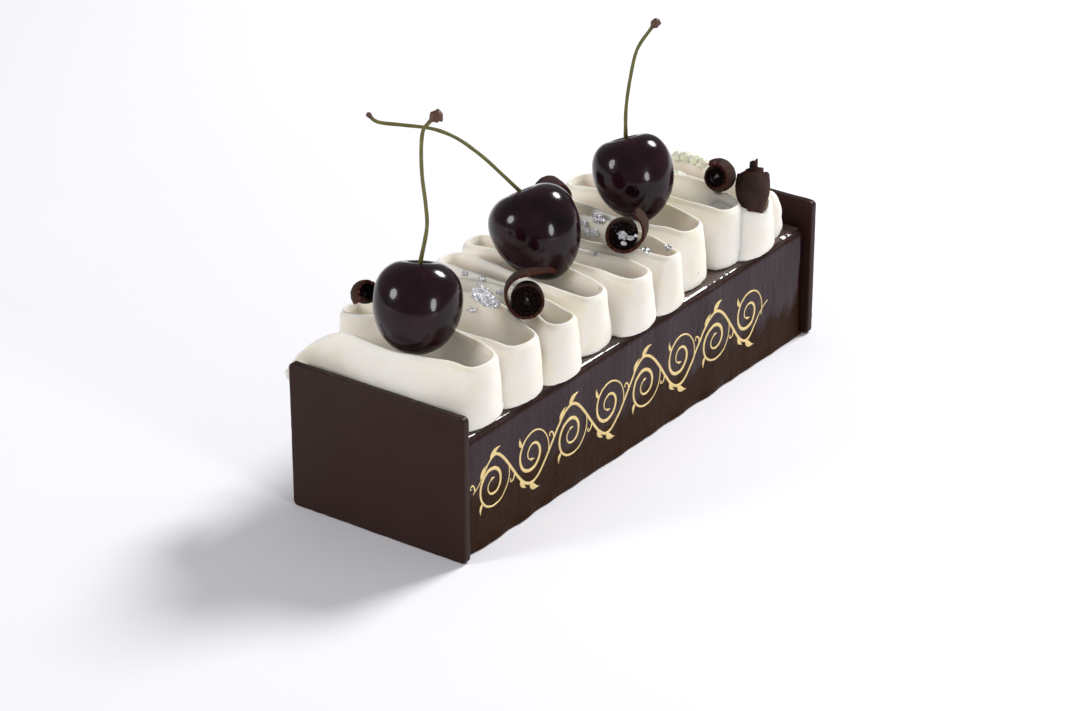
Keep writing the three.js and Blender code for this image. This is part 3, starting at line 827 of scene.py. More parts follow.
@dataclass
class Finishes:
    """Every material of the cake, built once."""

    glaze: Material
    plaque: Material
    cream: Material
    cherry: Material
    stem: Material
    curl: Material
    silver: Material
    gold: Material
    sugar: Material

    @classmethod
    def make(cls) -> "Finishes":
        """Builds the shader groups and then each material."""
        make_groups()
        return cls(
            # The glaze's violet cast is partly a painted reflection of pale violet surroundings.
            glaze=GlazeFinish(
                "glaze", (0.0180, 0.0026, 0.0072), roughness=0.33, specular=0.04, coat_roughness=0.05
            ).material(),
            plaque=PlaqueFinish(
                "plaque_chocolate", (0.025, 0.0085, 0.0058), roughness=0.42, specular=0.15
            ).material(),
            cream=CreamFinish(
                "cream", (0.86, 0.818, 0.745), roughness=0.48, specular=0.40,
                scatter=0.55, travel=(1.0, 0.85, 0.6), depth=0.0024,
            ).material(),
            cherry=CherryFinish(
                "cherry_skin", (0.0036, 0.0009, 0.0018), roughness=0.17, specular=0.06,
                coat=0.42, coat_roughness=0.08,
            ).material(),
            stem=StemFinish("cherry_stalk", (0.160, 0.155, 0.034), roughness=0.48, specular=0.40).material(),
            curl=CurlFinish(
                "shaved_chocolate", (0.033, 0.0185, 0.0150), roughness=0.60, specular=0.06
            ).material(),
            silver=FoilFinish("silver_leaf", (0.86, 0.86, 0.90), roughness=0.18, metallic=1.0).material(),
            gold=FoilFinish(
                "gold_paint", (0.86, 0.66, 0.30), roughness=0.34, metallic=0.45, wrinkle=900.0
            ).material(),
            sugar=SugarFinish(
                "pale_sugar", (0.84, 0.84, 0.72), roughness=0.30,
                scatter=0.6, travel=(1.0, 0.95, 0.6), depth=0.0015,
            ).material(),
        )


def settle(piece: bpy.types.Object, nodes: tuple[str, ...] = ()) -> None:
    """Ties a finished piece to the cake's one body and hides the solids that it replaces.

    Args:
        piece: the finished object.
        nodes: solids that it replaces.
    """
    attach(piece, "root")
    if nodes:
        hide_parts(*nodes)
    LOG.info("%s: %d faces", piece.name, len(piece.data.polygons))


# ---- Log and plaques ----
@dataclass
class GlazedLog:
    """The glazed log: a rounded block whose glaze swells, ripples and pools at its foot.

    Attributes:
        half_width: half its width.
        height: its height.
        half_length: half its length.
        top_edge: radius of the long top edges.
        foot_edge: radius of the long foot edges.
        end_edge: radius of the edges round its two ends.
        slow: broad swells of the glaze.
        standing: narrow upright ripples.
        pool: unevenness of the glaze that pools at the foot.
        pool_proud: how far the pool stands out on average.
        pool_height: how high it reaches.
    """

    half_width: float = 32.5
    height: float = 42.0
    half_length: float = 101.0
    top_edge: float = 2.6
    foot_edge: float = 0.6
    end_edge: float = 3.0
    slow: Waves = Waves(0.22, 24.0, 3)
    standing: Waves = Waves(0.05, 3.4, 4)
    pool: Waves = Waves(0.55, 11.0, 5)
    pool_proud: float = 0.15
    pool_height: float = 3.2

    def outline(self) -> tuple[Array, Array]:
        """Section from the left foot over the top to the right foot.

        Returns:
            Points (count, 2) as x and z, and their outward normals.
        """
        w, h, t, f = self.half_width, self.height, self.top_edge, self.foot_edge
        foot = np.radians(np.linspace(270, 180, 6))
        shoulder = np.radians(np.linspace(180, 90, 13))
        left = [
            np.stack([-w + f + f * np.cos(foot), f + f * np.sin(foot)], -1),
            np.stack([np.full(44, -w), np.linspace(f, h - t, 46)[1:-1]], -1),
            np.stack([-w + t + t * np.cos(shoulder), h - t + t * np.sin(shoulder)], -1),
        ]
        across = np.stack([np.linspace(-w + t, 0.0, 16)[1:], np.full(15, h)], -1)
        half = np.concatenate([*left, across])
        mirrored = half[-2::-1] * np.array([-1.0, 1.0])
        path = np.concatenate([half, mirrored])
        tangent = unit(np.gradient(path, axis=0))
        return path, np.stack([-tangent[:, 1], tangent[:, 0]], -1)

    def swell(self, y: Array, z: Array, side: Array) -> Array:
        """How far the glaze stands out, from slow swells, standing ripples and a pooled foot.

        Args:
            y: places along the log.
            z: heights.
            side: the sign of x, so that the two sides differ.

        Returns:
            Millimetres outward.
        """
        apart = 40.0 * side
        slow = self.slow.at(np.stack([y, z * 0.7, apart], -1))
        standing = self.standing.at(np.stack([y + 0.18 * z, z * 0.22, apart], -1))
        pool = self.pool.at(np.stack([y, apart], -1)) + self.pool_proud
        foot = (1.0 - smoothstep(z / self.pool_height)) * np.clip(pool, -0.2, 0.7)
        return slow + standing + foot

    def rings(self) -> Array:
        """Rings of the whole block from front to back."""
        path, normal = self.outline()
        near = self.half_length - self.end_edge * (1 - np.cos(np.radians(np.linspace(0, 90, 9))))
        middle = np.linspace(-near[-1], near[-1], 262)
        y = np.concatenate([-near, middle[1:-1], near[::-1]])
        depth = np.clip(self.end_edge - (self.half_length - np.abs(y)), 0.0, None)
        inset = self.end_edge - np.sqrt(np.clip(self.end_edge**2 - depth**2, 0.0, None))
        yy, zz = np.meshgrid(y, path[:, 1], indexing="ij")
        side = np.broadcast_to(np.sign(path[:, 0]), yy.shape)
        out = self.swell(yy, zz, side) - inset[:, None] * smoothstep(zz / 2.0)
        level = np.abs(normal[:, 1]) > 0.98
        out = np.where(level & (path[:, 1] > 1), -inset[:, None], out)
        x = path[:, 0] + normal[:, 0] * out
        z = np.clip(path[:, 1] + normal[:, 1] * np.where(path[:, 1] > 1, out, 0.0), 0.0, None)
        upper = np.stack([x, yy, z], -1)
        under = np.linspace(1.0, -1.0, len(path))
        width = x[:, -1:] * under[None, :]
        lower = np.stack([width, yy, np.zeros_like(yy)], -1)
        return np.concatenate([upper, lower], axis=1)

    def build(self, finishes: Finishes) -> None:
        """Builds the block and dresses it."""
        piece = Skin().add(self.rings()).build("glazed_log", finishes.glaze, SOFT_EDGES)
        settle(piece, ("cake_log",))


@dataclass
class Plaque:
    """A thin upright chocolate plaque with soft corners, one at each end of the log.

    Attributes:
        name: front or back.
        outer_y: the face that looks away from the log.
        inward: 1 if the log lies towards +Y of it, else -1.
        width: across the log.
        height: upright.
        thickness: along the log.
        corner: radius of its corners.
        bevel: radius of its edges.
        warp: slow unevenness of its faces.
        dent: small unevenness of its faces.
        worn: unevenness of its edge.
        seed: picks its unevenness.
    """

    name: str
    outer_y: float
    inward: float
    seed: int
    width: float = 70.0
    height: float = 51.6
    thickness: float = 3.0
    corner: float = 1.6
    bevel: float = 0.5
    warp: Waves = Waves(0.07, 30.0, 0)
    dent: Waves = Waves(0.02, 7.0, 1)
    worn: Waves = Waves(0.06, 5.0, 2)

    def outline(self) -> Array:
        """Outline of the face, from the middle of its foot's left half round over the top.

        Returns:
            Points (count, 2) as x and z, the second half running back along the foot.
        """
        w, h, r = self.width / 2, self.height, self.corner
        turn = np.radians(np.linspace(0, 90, 9))
        left_low = np.stack([-w + r - r * np.sin(turn), r - r * np.cos(turn)], -1)
        left_up = np.stack([-w + r - r * np.cos(turn), h - r + r * np.sin(turn)], -1)
        rise = np.stack([np.full(20, -w), np.linspace(r, h - r, 22)[1:-1]], -1)
        across = np.stack([np.linspace(-w + r, 0, 20)[1:], np.full(19, h)], -1)
        half = np.concatenate([left_low, rise, left_up, across])
        upper = np.concatenate([half, half[-2::-1] * np.array([-1.0, 1.0])])
        foot = np.stack([np.linspace(w - r, -w + r, len(upper) + 2)[1:-1], np.zeros(len(upper))], -1)
        return np.concatenate([upper, foot])

    def rings(self) -> Array:
        """Rings from the middle of the outer face, round the edge, to the inner face's middle."""
        edge = self.outline()
        middle = np.array([0.0, self.height / 2])
        turn = np.radians(np.linspace(0, 90, 6))
        near, far = self.bevel * (1 - np.sin(turn)), self.bevel * (1 - np.cos(turn))
        face = np.full(12, 1.0)
        widening = np.linspace(0.03, 0.985, 12)
        inset = np.concatenate([self.bevel * face, near, far, self.bevel * face])
        depth = np.concatenate([0.0 * face, far, self.thickness - near, self.thickness * face])
        scale = np.concatenate([widening, np.ones(12), widening[::-1]])
        span = np.array([self.width / 2, self.height / 2])
        flat = middle + (edge - middle)[None] * scale[:, None, None] * (1 - inset[:, None, None] / span)
        wave = self.warp.at(flat, self.seed) + self.dent.at(flat, self.seed)
        rim = self.worn.at(flat, self.seed) * (scale[:, None] > 0.99)
        y = self.outer_y + self.inward * (depth[:, None] + wave)
        grow = 1.0 + rim[..., None] / span - 0.004
        flat = middle + (flat - middle) * grow
        return np.stack([flat[..., 0], y, np.clip(flat[..., 1], 0.0, None)], -1)

    def build(self, finishes: Finishes) -> None:
        """Builds the plaque and dresses it."""
        piece = Skin().add(self.rings()).build(f"{self.name}_plaque", finishes.plaque, SOFT_EDGES)
        settle(piece, (f"plaque_{self.name}",))


# ---- Cherries ----
def turned(x_turn: float, y_turn: float, z_turn: float) -> Array:
    """Rotation about X, then Y, then Z, from angles in radians, as a 3 by 3 array."""
    turn = Matrix.Rotation(z_turn, 3, "Z") @ Matrix.Rotation(y_turn, 3, "Y") @ Matrix.Rotation(x_turn, 3, "X")
    return np.array(turn)


@dataclass
class Cherry:
    """A dark cherry and its stalk, pressed a little into the cream.

    Attributes:
        name: front, middle or back.
        centre: its middle.
        width: across its shoulders.
        top: from its middle to its shoulders.
        bottom: from its middle to its lowest point.
        lean: tilt sideways and backwards, in degrees.
        curve: powers that shape its outline above and below its widest part.
        stem: points of the stalk above the dimple.
        knob: half the width of the stalk's end.
        seed: picks its unevenness.
        flatness: its depth over its width.
        view_turn: the way it faces, in radians about Z.
        dimple_depth: depth of the hollow round the stalk.
        dimple_width: radius of that hollow.
        cleft: place of the valley down its side, in radians.
        cleft_depth: depth of the valley beside the radius.
        cleft_width: half the valley's width, in radians.
        uneven: unevenness of its body beside its size.
        stem_radius: half the stalk's thickness.
        stem_lift: how high over the dimple's middle the stalk starts.
        stem_uneven: unevenness of the stalk's thickness.
        knob_uneven: unevenness of the knob.
    """

    name: str
    centre: tuple[float, float, float]
    width: float
    top: float
    bottom: float
    lean: tuple[float, float]
    curve: tuple[float, float]
    stem: tuple[tuple[float, float, float], ...]
    knob: float
    seed: int
    flatness: float = 0.95
    view_turn: float = math.radians(35.7)
    dimple_depth: float = 2.7
    dimple_width: float = 3.9
    cleft: float = 0.16
    cleft_depth: float = 0.014
    cleft_width: float = 0.16
    uneven: Waves = Waves(0.006, 16.0, 0)
    stem_radius: float = 0.62
    stem_lift: float = 1.0
    stem_uneven: Waves = Waves(0.05, 6.0, 3)
    knob_uneven: Waves = Waves(0.16, 1.7, 4)

    def pose(self) -> Array:
        """The cherry's rotation."""
        sideways, backwards = (math.radians(part) for part in self.lean)
        return turned(-backwards, sideways, self.view_turn)

    def surface(self, bands: int = 96, sides: int = 160) -> Array:
        """Heart-shaped body.

        The radius is half the width times the sine of the polar angle to the curve's first
        power above and its second below; the height is its cosine to the power 0.85 times
        the top, less a bell-shaped dimple, or its cosine times the bottom.  A narrow valley
        runs down one side.

        Args:
            bands: rings from top to bottom.
            sides: points in each ring.

        Returns:
            Array (bands, sides, 3).
        """
        polar = np.linspace(0.004, np.pi - 0.004, bands)[:, None]
        around = (2 * np.pi * np.arange(sides) / sides)[None, :]
        upper = polar < np.pi / 2
        radius = self.width / 2 * np.sin(polar) ** np.where(upper, *self.curve)
        dimple = self.dimple_depth * np.exp(-((radius / self.dimple_width) ** 2))
        rise = self.top * np.clip(np.cos(polar), 0, None) ** 0.85 - dimple
        height = np.where(upper, rise, self.bottom * np.cos(polar))
        apart = np.angle(np.exp(1j * (around - self.cleft)))
        valley = 1.0 - self.cleft_depth * np.exp(-((apart / self.cleft_width) ** 2)) * np.sin(polar)
        right, back = radius * np.cos(around) * valley, radius * np.sin(around) * valley * self.flatness
        body = np.stack([right, back, height + 0.0 * around], -1)
        body *= 1.0 + self.uneven.at(body, self.seed)[..., None]
        return body @ self.pose().T + np.array(self.centre)

    def press(self, points: Array) -> Array:
        """Pushes points that would be inside the cherry down to just under its skin.

        Args:
            points: array (..., 3).

        Returns:
            The same points, with heights lowered where the cherry sits on them.
        """
        away = points - np.array(self.centre)
        spread = np.hypot(away[..., 0], away[..., 1]) / (self.width / 2 + CLEARANCE)
        polar = np.pi - np.arcsin(np.clip(spread, 0.0, 1.0) ** (1 / self.curve[1]))
        floor = self.centre[2] + (self.bottom + CLEARANCE) * np.cos(polar)
        lowered = np.minimum(points[..., 2], floor)
        z = np.where(spread < 1.0, lowered, points[..., 2])
        return np.concatenate([points[..., :2], z[..., None]], -1)

    def stalk(self) -> tuple[Array, Array]:
        """Rings of the stalk, which swells at its foot and into a knob at its end.

        Returns:
            The rings and a mark that is 1 on the knob.
        """
        foot = np.array([0.0, 0.0, self.top - self.dimple_depth + self.stem_lift])
        points = np.vstack([foot @ self.pose().T + np.array(self.centre), np.array(self.stem)])
        path, _ = spline(points, even_steps(points, 0.45))
        along = np.append(0.0, np.cumsum(np.linalg.norm(np.diff(path, axis=0), axis=1)))
        start = along[-1] - 2.4 * self.knob
        swell = smoothstep((along - start) / self.knob)
        radius = self.stem_radius + 0.25 * np.exp(-along / 3.0) + swell * (self.knob - self.stem_radius)
        radius = radius * (1.0 + self.stem_uneven.at(path, self.seed))
        ragged = 1.0 + swell[:, None] * self.knob_uneven.at(tube_rings(path, radius, 20), self.seed)
        tip = np.sqrt(np.clip((along[-1] - along) / (0.45 * self.knob), 0.02, 1.0))
        rings = tube_rings(path, radius * tip, 20)
        rings = path[:, None] + (rings - path[:, None]) * ragged[..., None]
        mark = np.broadcast_to(smoothstep((along - start + 2.0) / 3.0)[:, None], rings.shape[:2])
        return rings, mark

    def build(self, finishes: Finishes) -> None:
        """Builds the cherry and its stalk and dresses them."""
        fruit = Skin().add(self.surface()).build(f"{self.name}_cherry", finishes.cherry, ALL_SMOOTH)
        settle(fruit, (f"cherry_{self.name}",))
        rings, mark = self.stalk()
        stalk = Skin().add(rings, knob=mark).build(f"{self.name}_stalk", finishes.stem, ALL_SMOOTH)
        settle(stalk, (f"stem_{self.name}",))


# ---- Piped cream ----
@dataclass
class CreamRibbon:
    """One long upright ribbon of cream, piped to and fro across the log.

    Turns are (along, reach, half width, rise): where along the log each one peaks, how far
    out it reaches, half the width of its bend, and how much its rim stands above the rest.

    Attributes:
        foot: height of the wall's foot.
        rim: height of its rim.
        tip_dip: how much lower the rim is at a turn, from tip_start on over tip_span.
        base_flare: how far the foot spreads along the log where x is base_reach.
        tip_lean: how far the foot stands further in than the rim at a turn.
        fullness: how far a turn's diagonal points stand out, as a share of its radius.
        front_limit: the foot stays behind this y.
        waist_x: where the passes cross the log's middle, at the waists' y.
        right: turns on the right.
        left: turns on the left.
        tail: points of the start, as x, y, raised foot and rim height.
        last_end: points of the end.
        dab_centre: middle of the dab at the end, with its radii and unevenness.
        spacing: largest distance between the wall's rows.
        half_widths: half the wall's thickness at its bed, foot_end, lip_start and rim_start,
            which are shares of its height.
        end_limit: the cream stays within this y of the middle.
        sway: unevenness of the wall's way; shiver, the same but finer.
        fatness: unevenness of its thickness; bead, the same but finer, at the foot.
        heave: unevenness of its height.
        bed_ends: ends of the low bed; bed_half and bed_height, its half width and height.
    """

    foot: float = 42.3
    rim: float = 64.6
    tip_dip: float = 1.2
    tip_start: float = 20.0
    tip_span: float = 12.0
    base_flare: float = 2.4
    base_reach: float = 30.0
    tip_lean: float = 1.2
    fullness: float = 1.06
    front_limit: float = -98.1
    waist_x: float = 4.0
    right: tuple[tuple[float, ...], ...] = (
        (-86.8, 31.5, 8.1, 0.3),
        (-66.1, 32.4, 7.7, -0.5),
        (-46.0, 33.8, 5.5, -0.8),
        (-23.5, 29.7, 6.3, -1.1),
        (-2.4, 33.4, 6.0, -1.4),
        (16.1, 33.0, 3.6, -0.7),
        (35.7, 28.4, 6.8, 0.3),
        (59.2, 28.8, 5.8, -0.3),
        (72.0, 33.0, 7.6, -2.2),
    )
    left: tuple[tuple[float, ...], ...] = (
        (-79.2, 30.0, 5.0, -0.1),
        (-52.5, 30.4, 4.9, -0.6),
        (-29.7, 29.1, 5.2, -0.9),
        (-12.1, 31.0, 5.0, -1.2),
        (7.1, 30.4, 5.6, -1.0),
        (25.9, 30.1, 5.4, -0.2),
        (48.1, 31.0, 6.5, 0.0),
        (67.3, 29.9, 5.7, -0.3),
    )
    waists: tuple[float, ...] = (
        -99.4, -76.1, -74.9, -49.5, -39.4, -37.0, -28.6, -13.9, -9.4,
        0.8, 6.3, 24.3, 26.7, 46.3, 52.9, 71.3, 73.8, 87.0,
    )
    tail: tuple[tuple[float, ...], ...] = (
        (-41.5, -97.6, -2.0, 45.5),
        (-36.0, -97.4, 0.0, 53.0),
        (-27.5, -97.4, 0.0, 60.2),
        (-16.0, -97.6, 0.0, 64.6),
    )
    last_end: tuple[tuple[float, ...], ...] = ((-12.0, 89.5, 0.0, 63.0), (-23.0, 88.0, 0.0, 59.0))
    dab_centre: tuple[float, float, float] = (25.5, 86.5, 48.0)
    dab_radii: tuple[float, float, float] = (5.4, 5.2, 11.5)
    dab_uneven: Waves = Waves(0.07, 9.0, 33)
    spacing: float = 0.95
    half_widths: tuple[float, float, float, float] = (1.7, 2.6, 1.2, 0.6)
    foot_end: float = 0.13
    lip_start: float = 0.93
    rim_start: float = 0.98
    end_limit: float = 100.9
    sway: Waves = Waves(0.14, 17.0, 21)
    shiver: Waves = Waves(0.03, 6.0, 22)
    fatness: Waves = Waves(0.06, 9.0, 23)
    bead: Waves = Waves(0.12, 2.6, 24)
    heave: Waves = Waves(0.10, 16.0, 25)
    bed_uneven: Waves = Waves(0.5, 14.0, 31)
    bed_ends: tuple[float, float] = (-93.0, 84.0)
    bed_half: float = 21.0
    bed_height: float = 5.2

    def turn_points(self, turn: tuple[float, ...], side: int) -> list[list[float]]:
        """Five points round half a circle, its diagonal points pushed out a little."""
        along, reach, half, rise = turn
        points = []
        for degrees in (-90, -45, 0, 45, 90):
            angle = math.radians(degrees)
            radius = half * (self.fullness if abs(degrees) == 45 else 1.0)
            x = side * (reach - half + radius * math.cos(angle))
            points.append([x, along + radius * math.sin(angle), 0.0, self.rim + rise])
        return points

    def route(self) -> tuple[Array, list[int]]:
        """The ribbon's rim from tail to last end.

        Returns:
            Points (count, 4) as x, y, foot and rim height, and the place of every tip.
        """
        points = [list(point) for point in self.tail]
        tips = [0]
        for i, turn in enumerate(self.right):
            near, far = self.waists[2 * i : 2 * i + 2]
            points.append([self.waist_x, near, 0.0, self.rim + turn[3]])
            tips.append(len(points) + 2)
            points += self.turn_points(turn, 1)
            points.append([self.waist_x, far, 0.0, self.rim + turn[3]])
            if i < len(self.left):
                tips.append(len(points) + 2)
                points += self.turn_points(self.left[i], -1)
        points += [list(point) for point in self.last_end]
        tips.append(len(points) - 1)
        return np.array(points), tips

    def walls(self) -> dict[str, Array]:
        """The wall at many places: its foot and rim points, its side direction and its pass.

        Returns:
            Arrays "foot" and "rim" (count, 3), "normal" (count, 3), "pass" and "along".
        """
        points, tips = self.route()
        steps = even_steps(points[:, :2], self.spacing)
        place, tangent = spline(points[:, :2], steps, 0.5)
        height, _ = spline(points[:, 2:], steps)
        flat = unit(tangent)
        normal = np.stack([flat[:, 1], -flat[:, 0], np.zeros(len(flat))], -1)
        number = np.clip(np.searchsorted(tips, steps, side="right") - 1, 0, len(tips) - 2)
        x, y = place[:, 0], place[:, 1]
        tip = smoothstep((np.abs(x) - self.tip_start) / self.tip_span)
        outward = np.where(number % 2 == 0, -1.0, 1.0)
        flare = outward * self.base_flare * x / self.base_reach
        lean = -np.sign(x) * self.tip_lean * tip * np.abs(normal[:, 0])
        foot_y = np.maximum(y + flare * np.abs(normal[:, 1]), self.front_limit)
        foot = np.stack([x + lean, foot_y, self.foot + height[:, 0]], -1)
        rim = np.stack([x, y, height[:, 1] - self.tip_dip * tip], -1)
        gone = np.append(0.0, np.cumsum(np.linalg.norm(np.diff(rim, axis=0), axis=1)))
        return {"foot": foot, "rim": rim, "normal": normal, "pass": number, "along": gone}

    def half_thickness(self, share: Array) -> Array:
        """Half the wall's thickness at a share of its height.

        The foot is a quarter of an ellipse, the body a straight taper, the lip a steeper one
        and the rim half an ellipse.

        Args:
            share: 0 at the foot and 1 at the rim.

        Returns:
            Millimetres.
        """
        floor, low, high, thin = self.half_widths
        foot = floor + (low - floor) * np.sqrt(np.clip(1 - (1 - share / self.foot_end) ** 2, 0, 1))
        body = low + (high - low) * (share - self.foot_end) / (self.lip_start - self.foot_end)
        lip = high + (thin - high) * (share - self.lip_start) / (self.rim_start - self.lip_start)
        gone = (share - self.rim_start) / (1 - self.rim_start)
        rim = thin * np.sqrt(np.clip(1 - gone**2, 0, 1))
        upper = np.where(share < self.rim_start, lip, rim)
        return np.where(share < self.foot_end, foot, np.where(share < self.lip_start, body, upper))

    def point(self, wall: dict[str, Array], index: Array, share: Array, offset: Array) -> Array:
        """Points on or beside the wall.

        Args:
            wall: what walls() gave.
            index: places along it.
            share: shares of its height.
            offset: millimetres to its side.

        Returns:
            Array (..., 3).
        """
        foot, rim, normal = (wall[key][index] for key in ("foot", "rim", "normal"))
        share, offset = np.asarray(share)[..., None], np.asarray(offset)[..., None]
        return foot + (rim - foot) * share + normal * offset

    @staticmethod
    def nearest(wall: dict[str, Array], number: float, x: float) -> int:
        """The place along the wall where one of its passes is nearest to an x."""
        chosen = np.flatnonzero(wall["pass"] == number)
        return chosen[np.argmin(np.abs(wall["rim"][chosen, 0] - x))]

    def rings(self, toppings: "list[Cherry | Curl]") -> Array:
        """Fine rings of the whole ribbon, a little uneven as piping is.

        Args:
            toppings: they press it down where they sit.

        Returns:
            Array (rows, columns, 3).
        """
        wall = self.walls()
        share = np.concatenate([
            self.foot_end * (1 - np.cos(np.linspace(0, np.pi / 2, 7))),
            np.linspace(self.foot_end, self.lip_start, 18)[1:-1],
            np.linspace(self.lip_start, self.rim_start, 4)[:-1],
            self.rim_start + (1 - self.rim_start) * np.sin(np.linspace(0, np.pi / 2, 6)),
        ])
        count = len(wall["along"])
        index = np.arange(count)[:, None]
        along = wall["along"][:, None] + 0.0 * share[None, :]
        up = 22.0 * share[None, :] + 0.0 * along
        sway = self.sway.at(np.stack([along, up * 0.8], -1)) * smoothstep(share / 0.3)
        sway = sway + self.shiver.at(np.stack([along, up * 0.3], -1))
        half = self.half_thickness(share)[None, :] * (1.0 + self.fatness.at(np.stack([along, up], -1)))
        bead = self.bead.at(np.stack([along, up], -1)) * (1 - smoothstep(share / 0.25))
        one = self.point(wall, index, share[None, :], sway - half - bead)
        other = self.point(wall, index, share[None, :], sway + half + bead)
        wavy = self.heave.at(wall["along"][:, None])[:, None] * smoothstep(share / 0.9)
        one[..., 2] += wavy
        other[..., 2] += wavy
        rings = np.concatenate([one, other[:, ::-1]], axis=1)
        rings[..., 1] = np.clip(rings[..., 1], -self.end_limit, self.end_limit)
        for topping in toppings:
            rings = topping.press(rings)
        return rings

    def bed(self) -> Array:
        """Rings of the low bed of cream that closes the pockets between the passes."""
        near, far = self.bed_ends
        y = np.linspace(near, far, 178)
        across = np.linspace(-self.bed_half, self.bed_half, 44)
        yy, xx = np.meshgrid(y, across, indexing="ij")
        beyond = (far - near) / 2 - np.abs(yy - (near + far) / 2)
        edge = smoothstep((self.bed_half - np.abs(xx)) / 4.0) * smoothstep(beyond / 4.0)
        thick = self.bed_height + self.bed_uneven.at(np.stack([xx, yy], -1))
        top = self.foot + thick * (0.15 + 0.85 * edge)
        upper = np.stack([xx, yy, top], -1)
        lower = np.stack([xx, yy, np.full_like(xx, self.foot - 0.1)], -1)
        return np.concatenate([upper, lower[:, ::-1]], axis=1)

    def dab(self) -> Array:
        """Rings of the uneven dab where the piping ends: a tall ball with its foot cut level."""
        ball = ball_rings(40, 56) * np.array(self.dab_radii)
        ball = ball * (1.0 + self.dab_uneven.at(ball)[..., None]) + np.array(self.dab_centre)
        ball[..., 2] = np.maximum(ball[..., 2], self.foot)
        return ball

    def build(self, finishes: Finishes, toppings: "list[Cherry | Curl]") -> None:
        """Builds the ribbon, its bed and its last dab and dresses them.

        Args:
            finishes: the cake's materials.
            toppings: they press the cream down.
        """
        ribbon = Skin().add(self.rings(toppings)).build("piped_cream", finishes.cream, ALL_SMOOTH)
        settle(ribbon, ("cream_ribbon",))
        bed = Skin().add(self.bed()).build("cream_bed", finishes.cream, ALL_SMOOTH)
        settle(bed, ("cream_ribbon",))
        dab = Skin().add(self.dab()).build("cream_dab", finishes.cream, ALL_SMOOTH)
        settle(dab, ("cream_ribbon",))


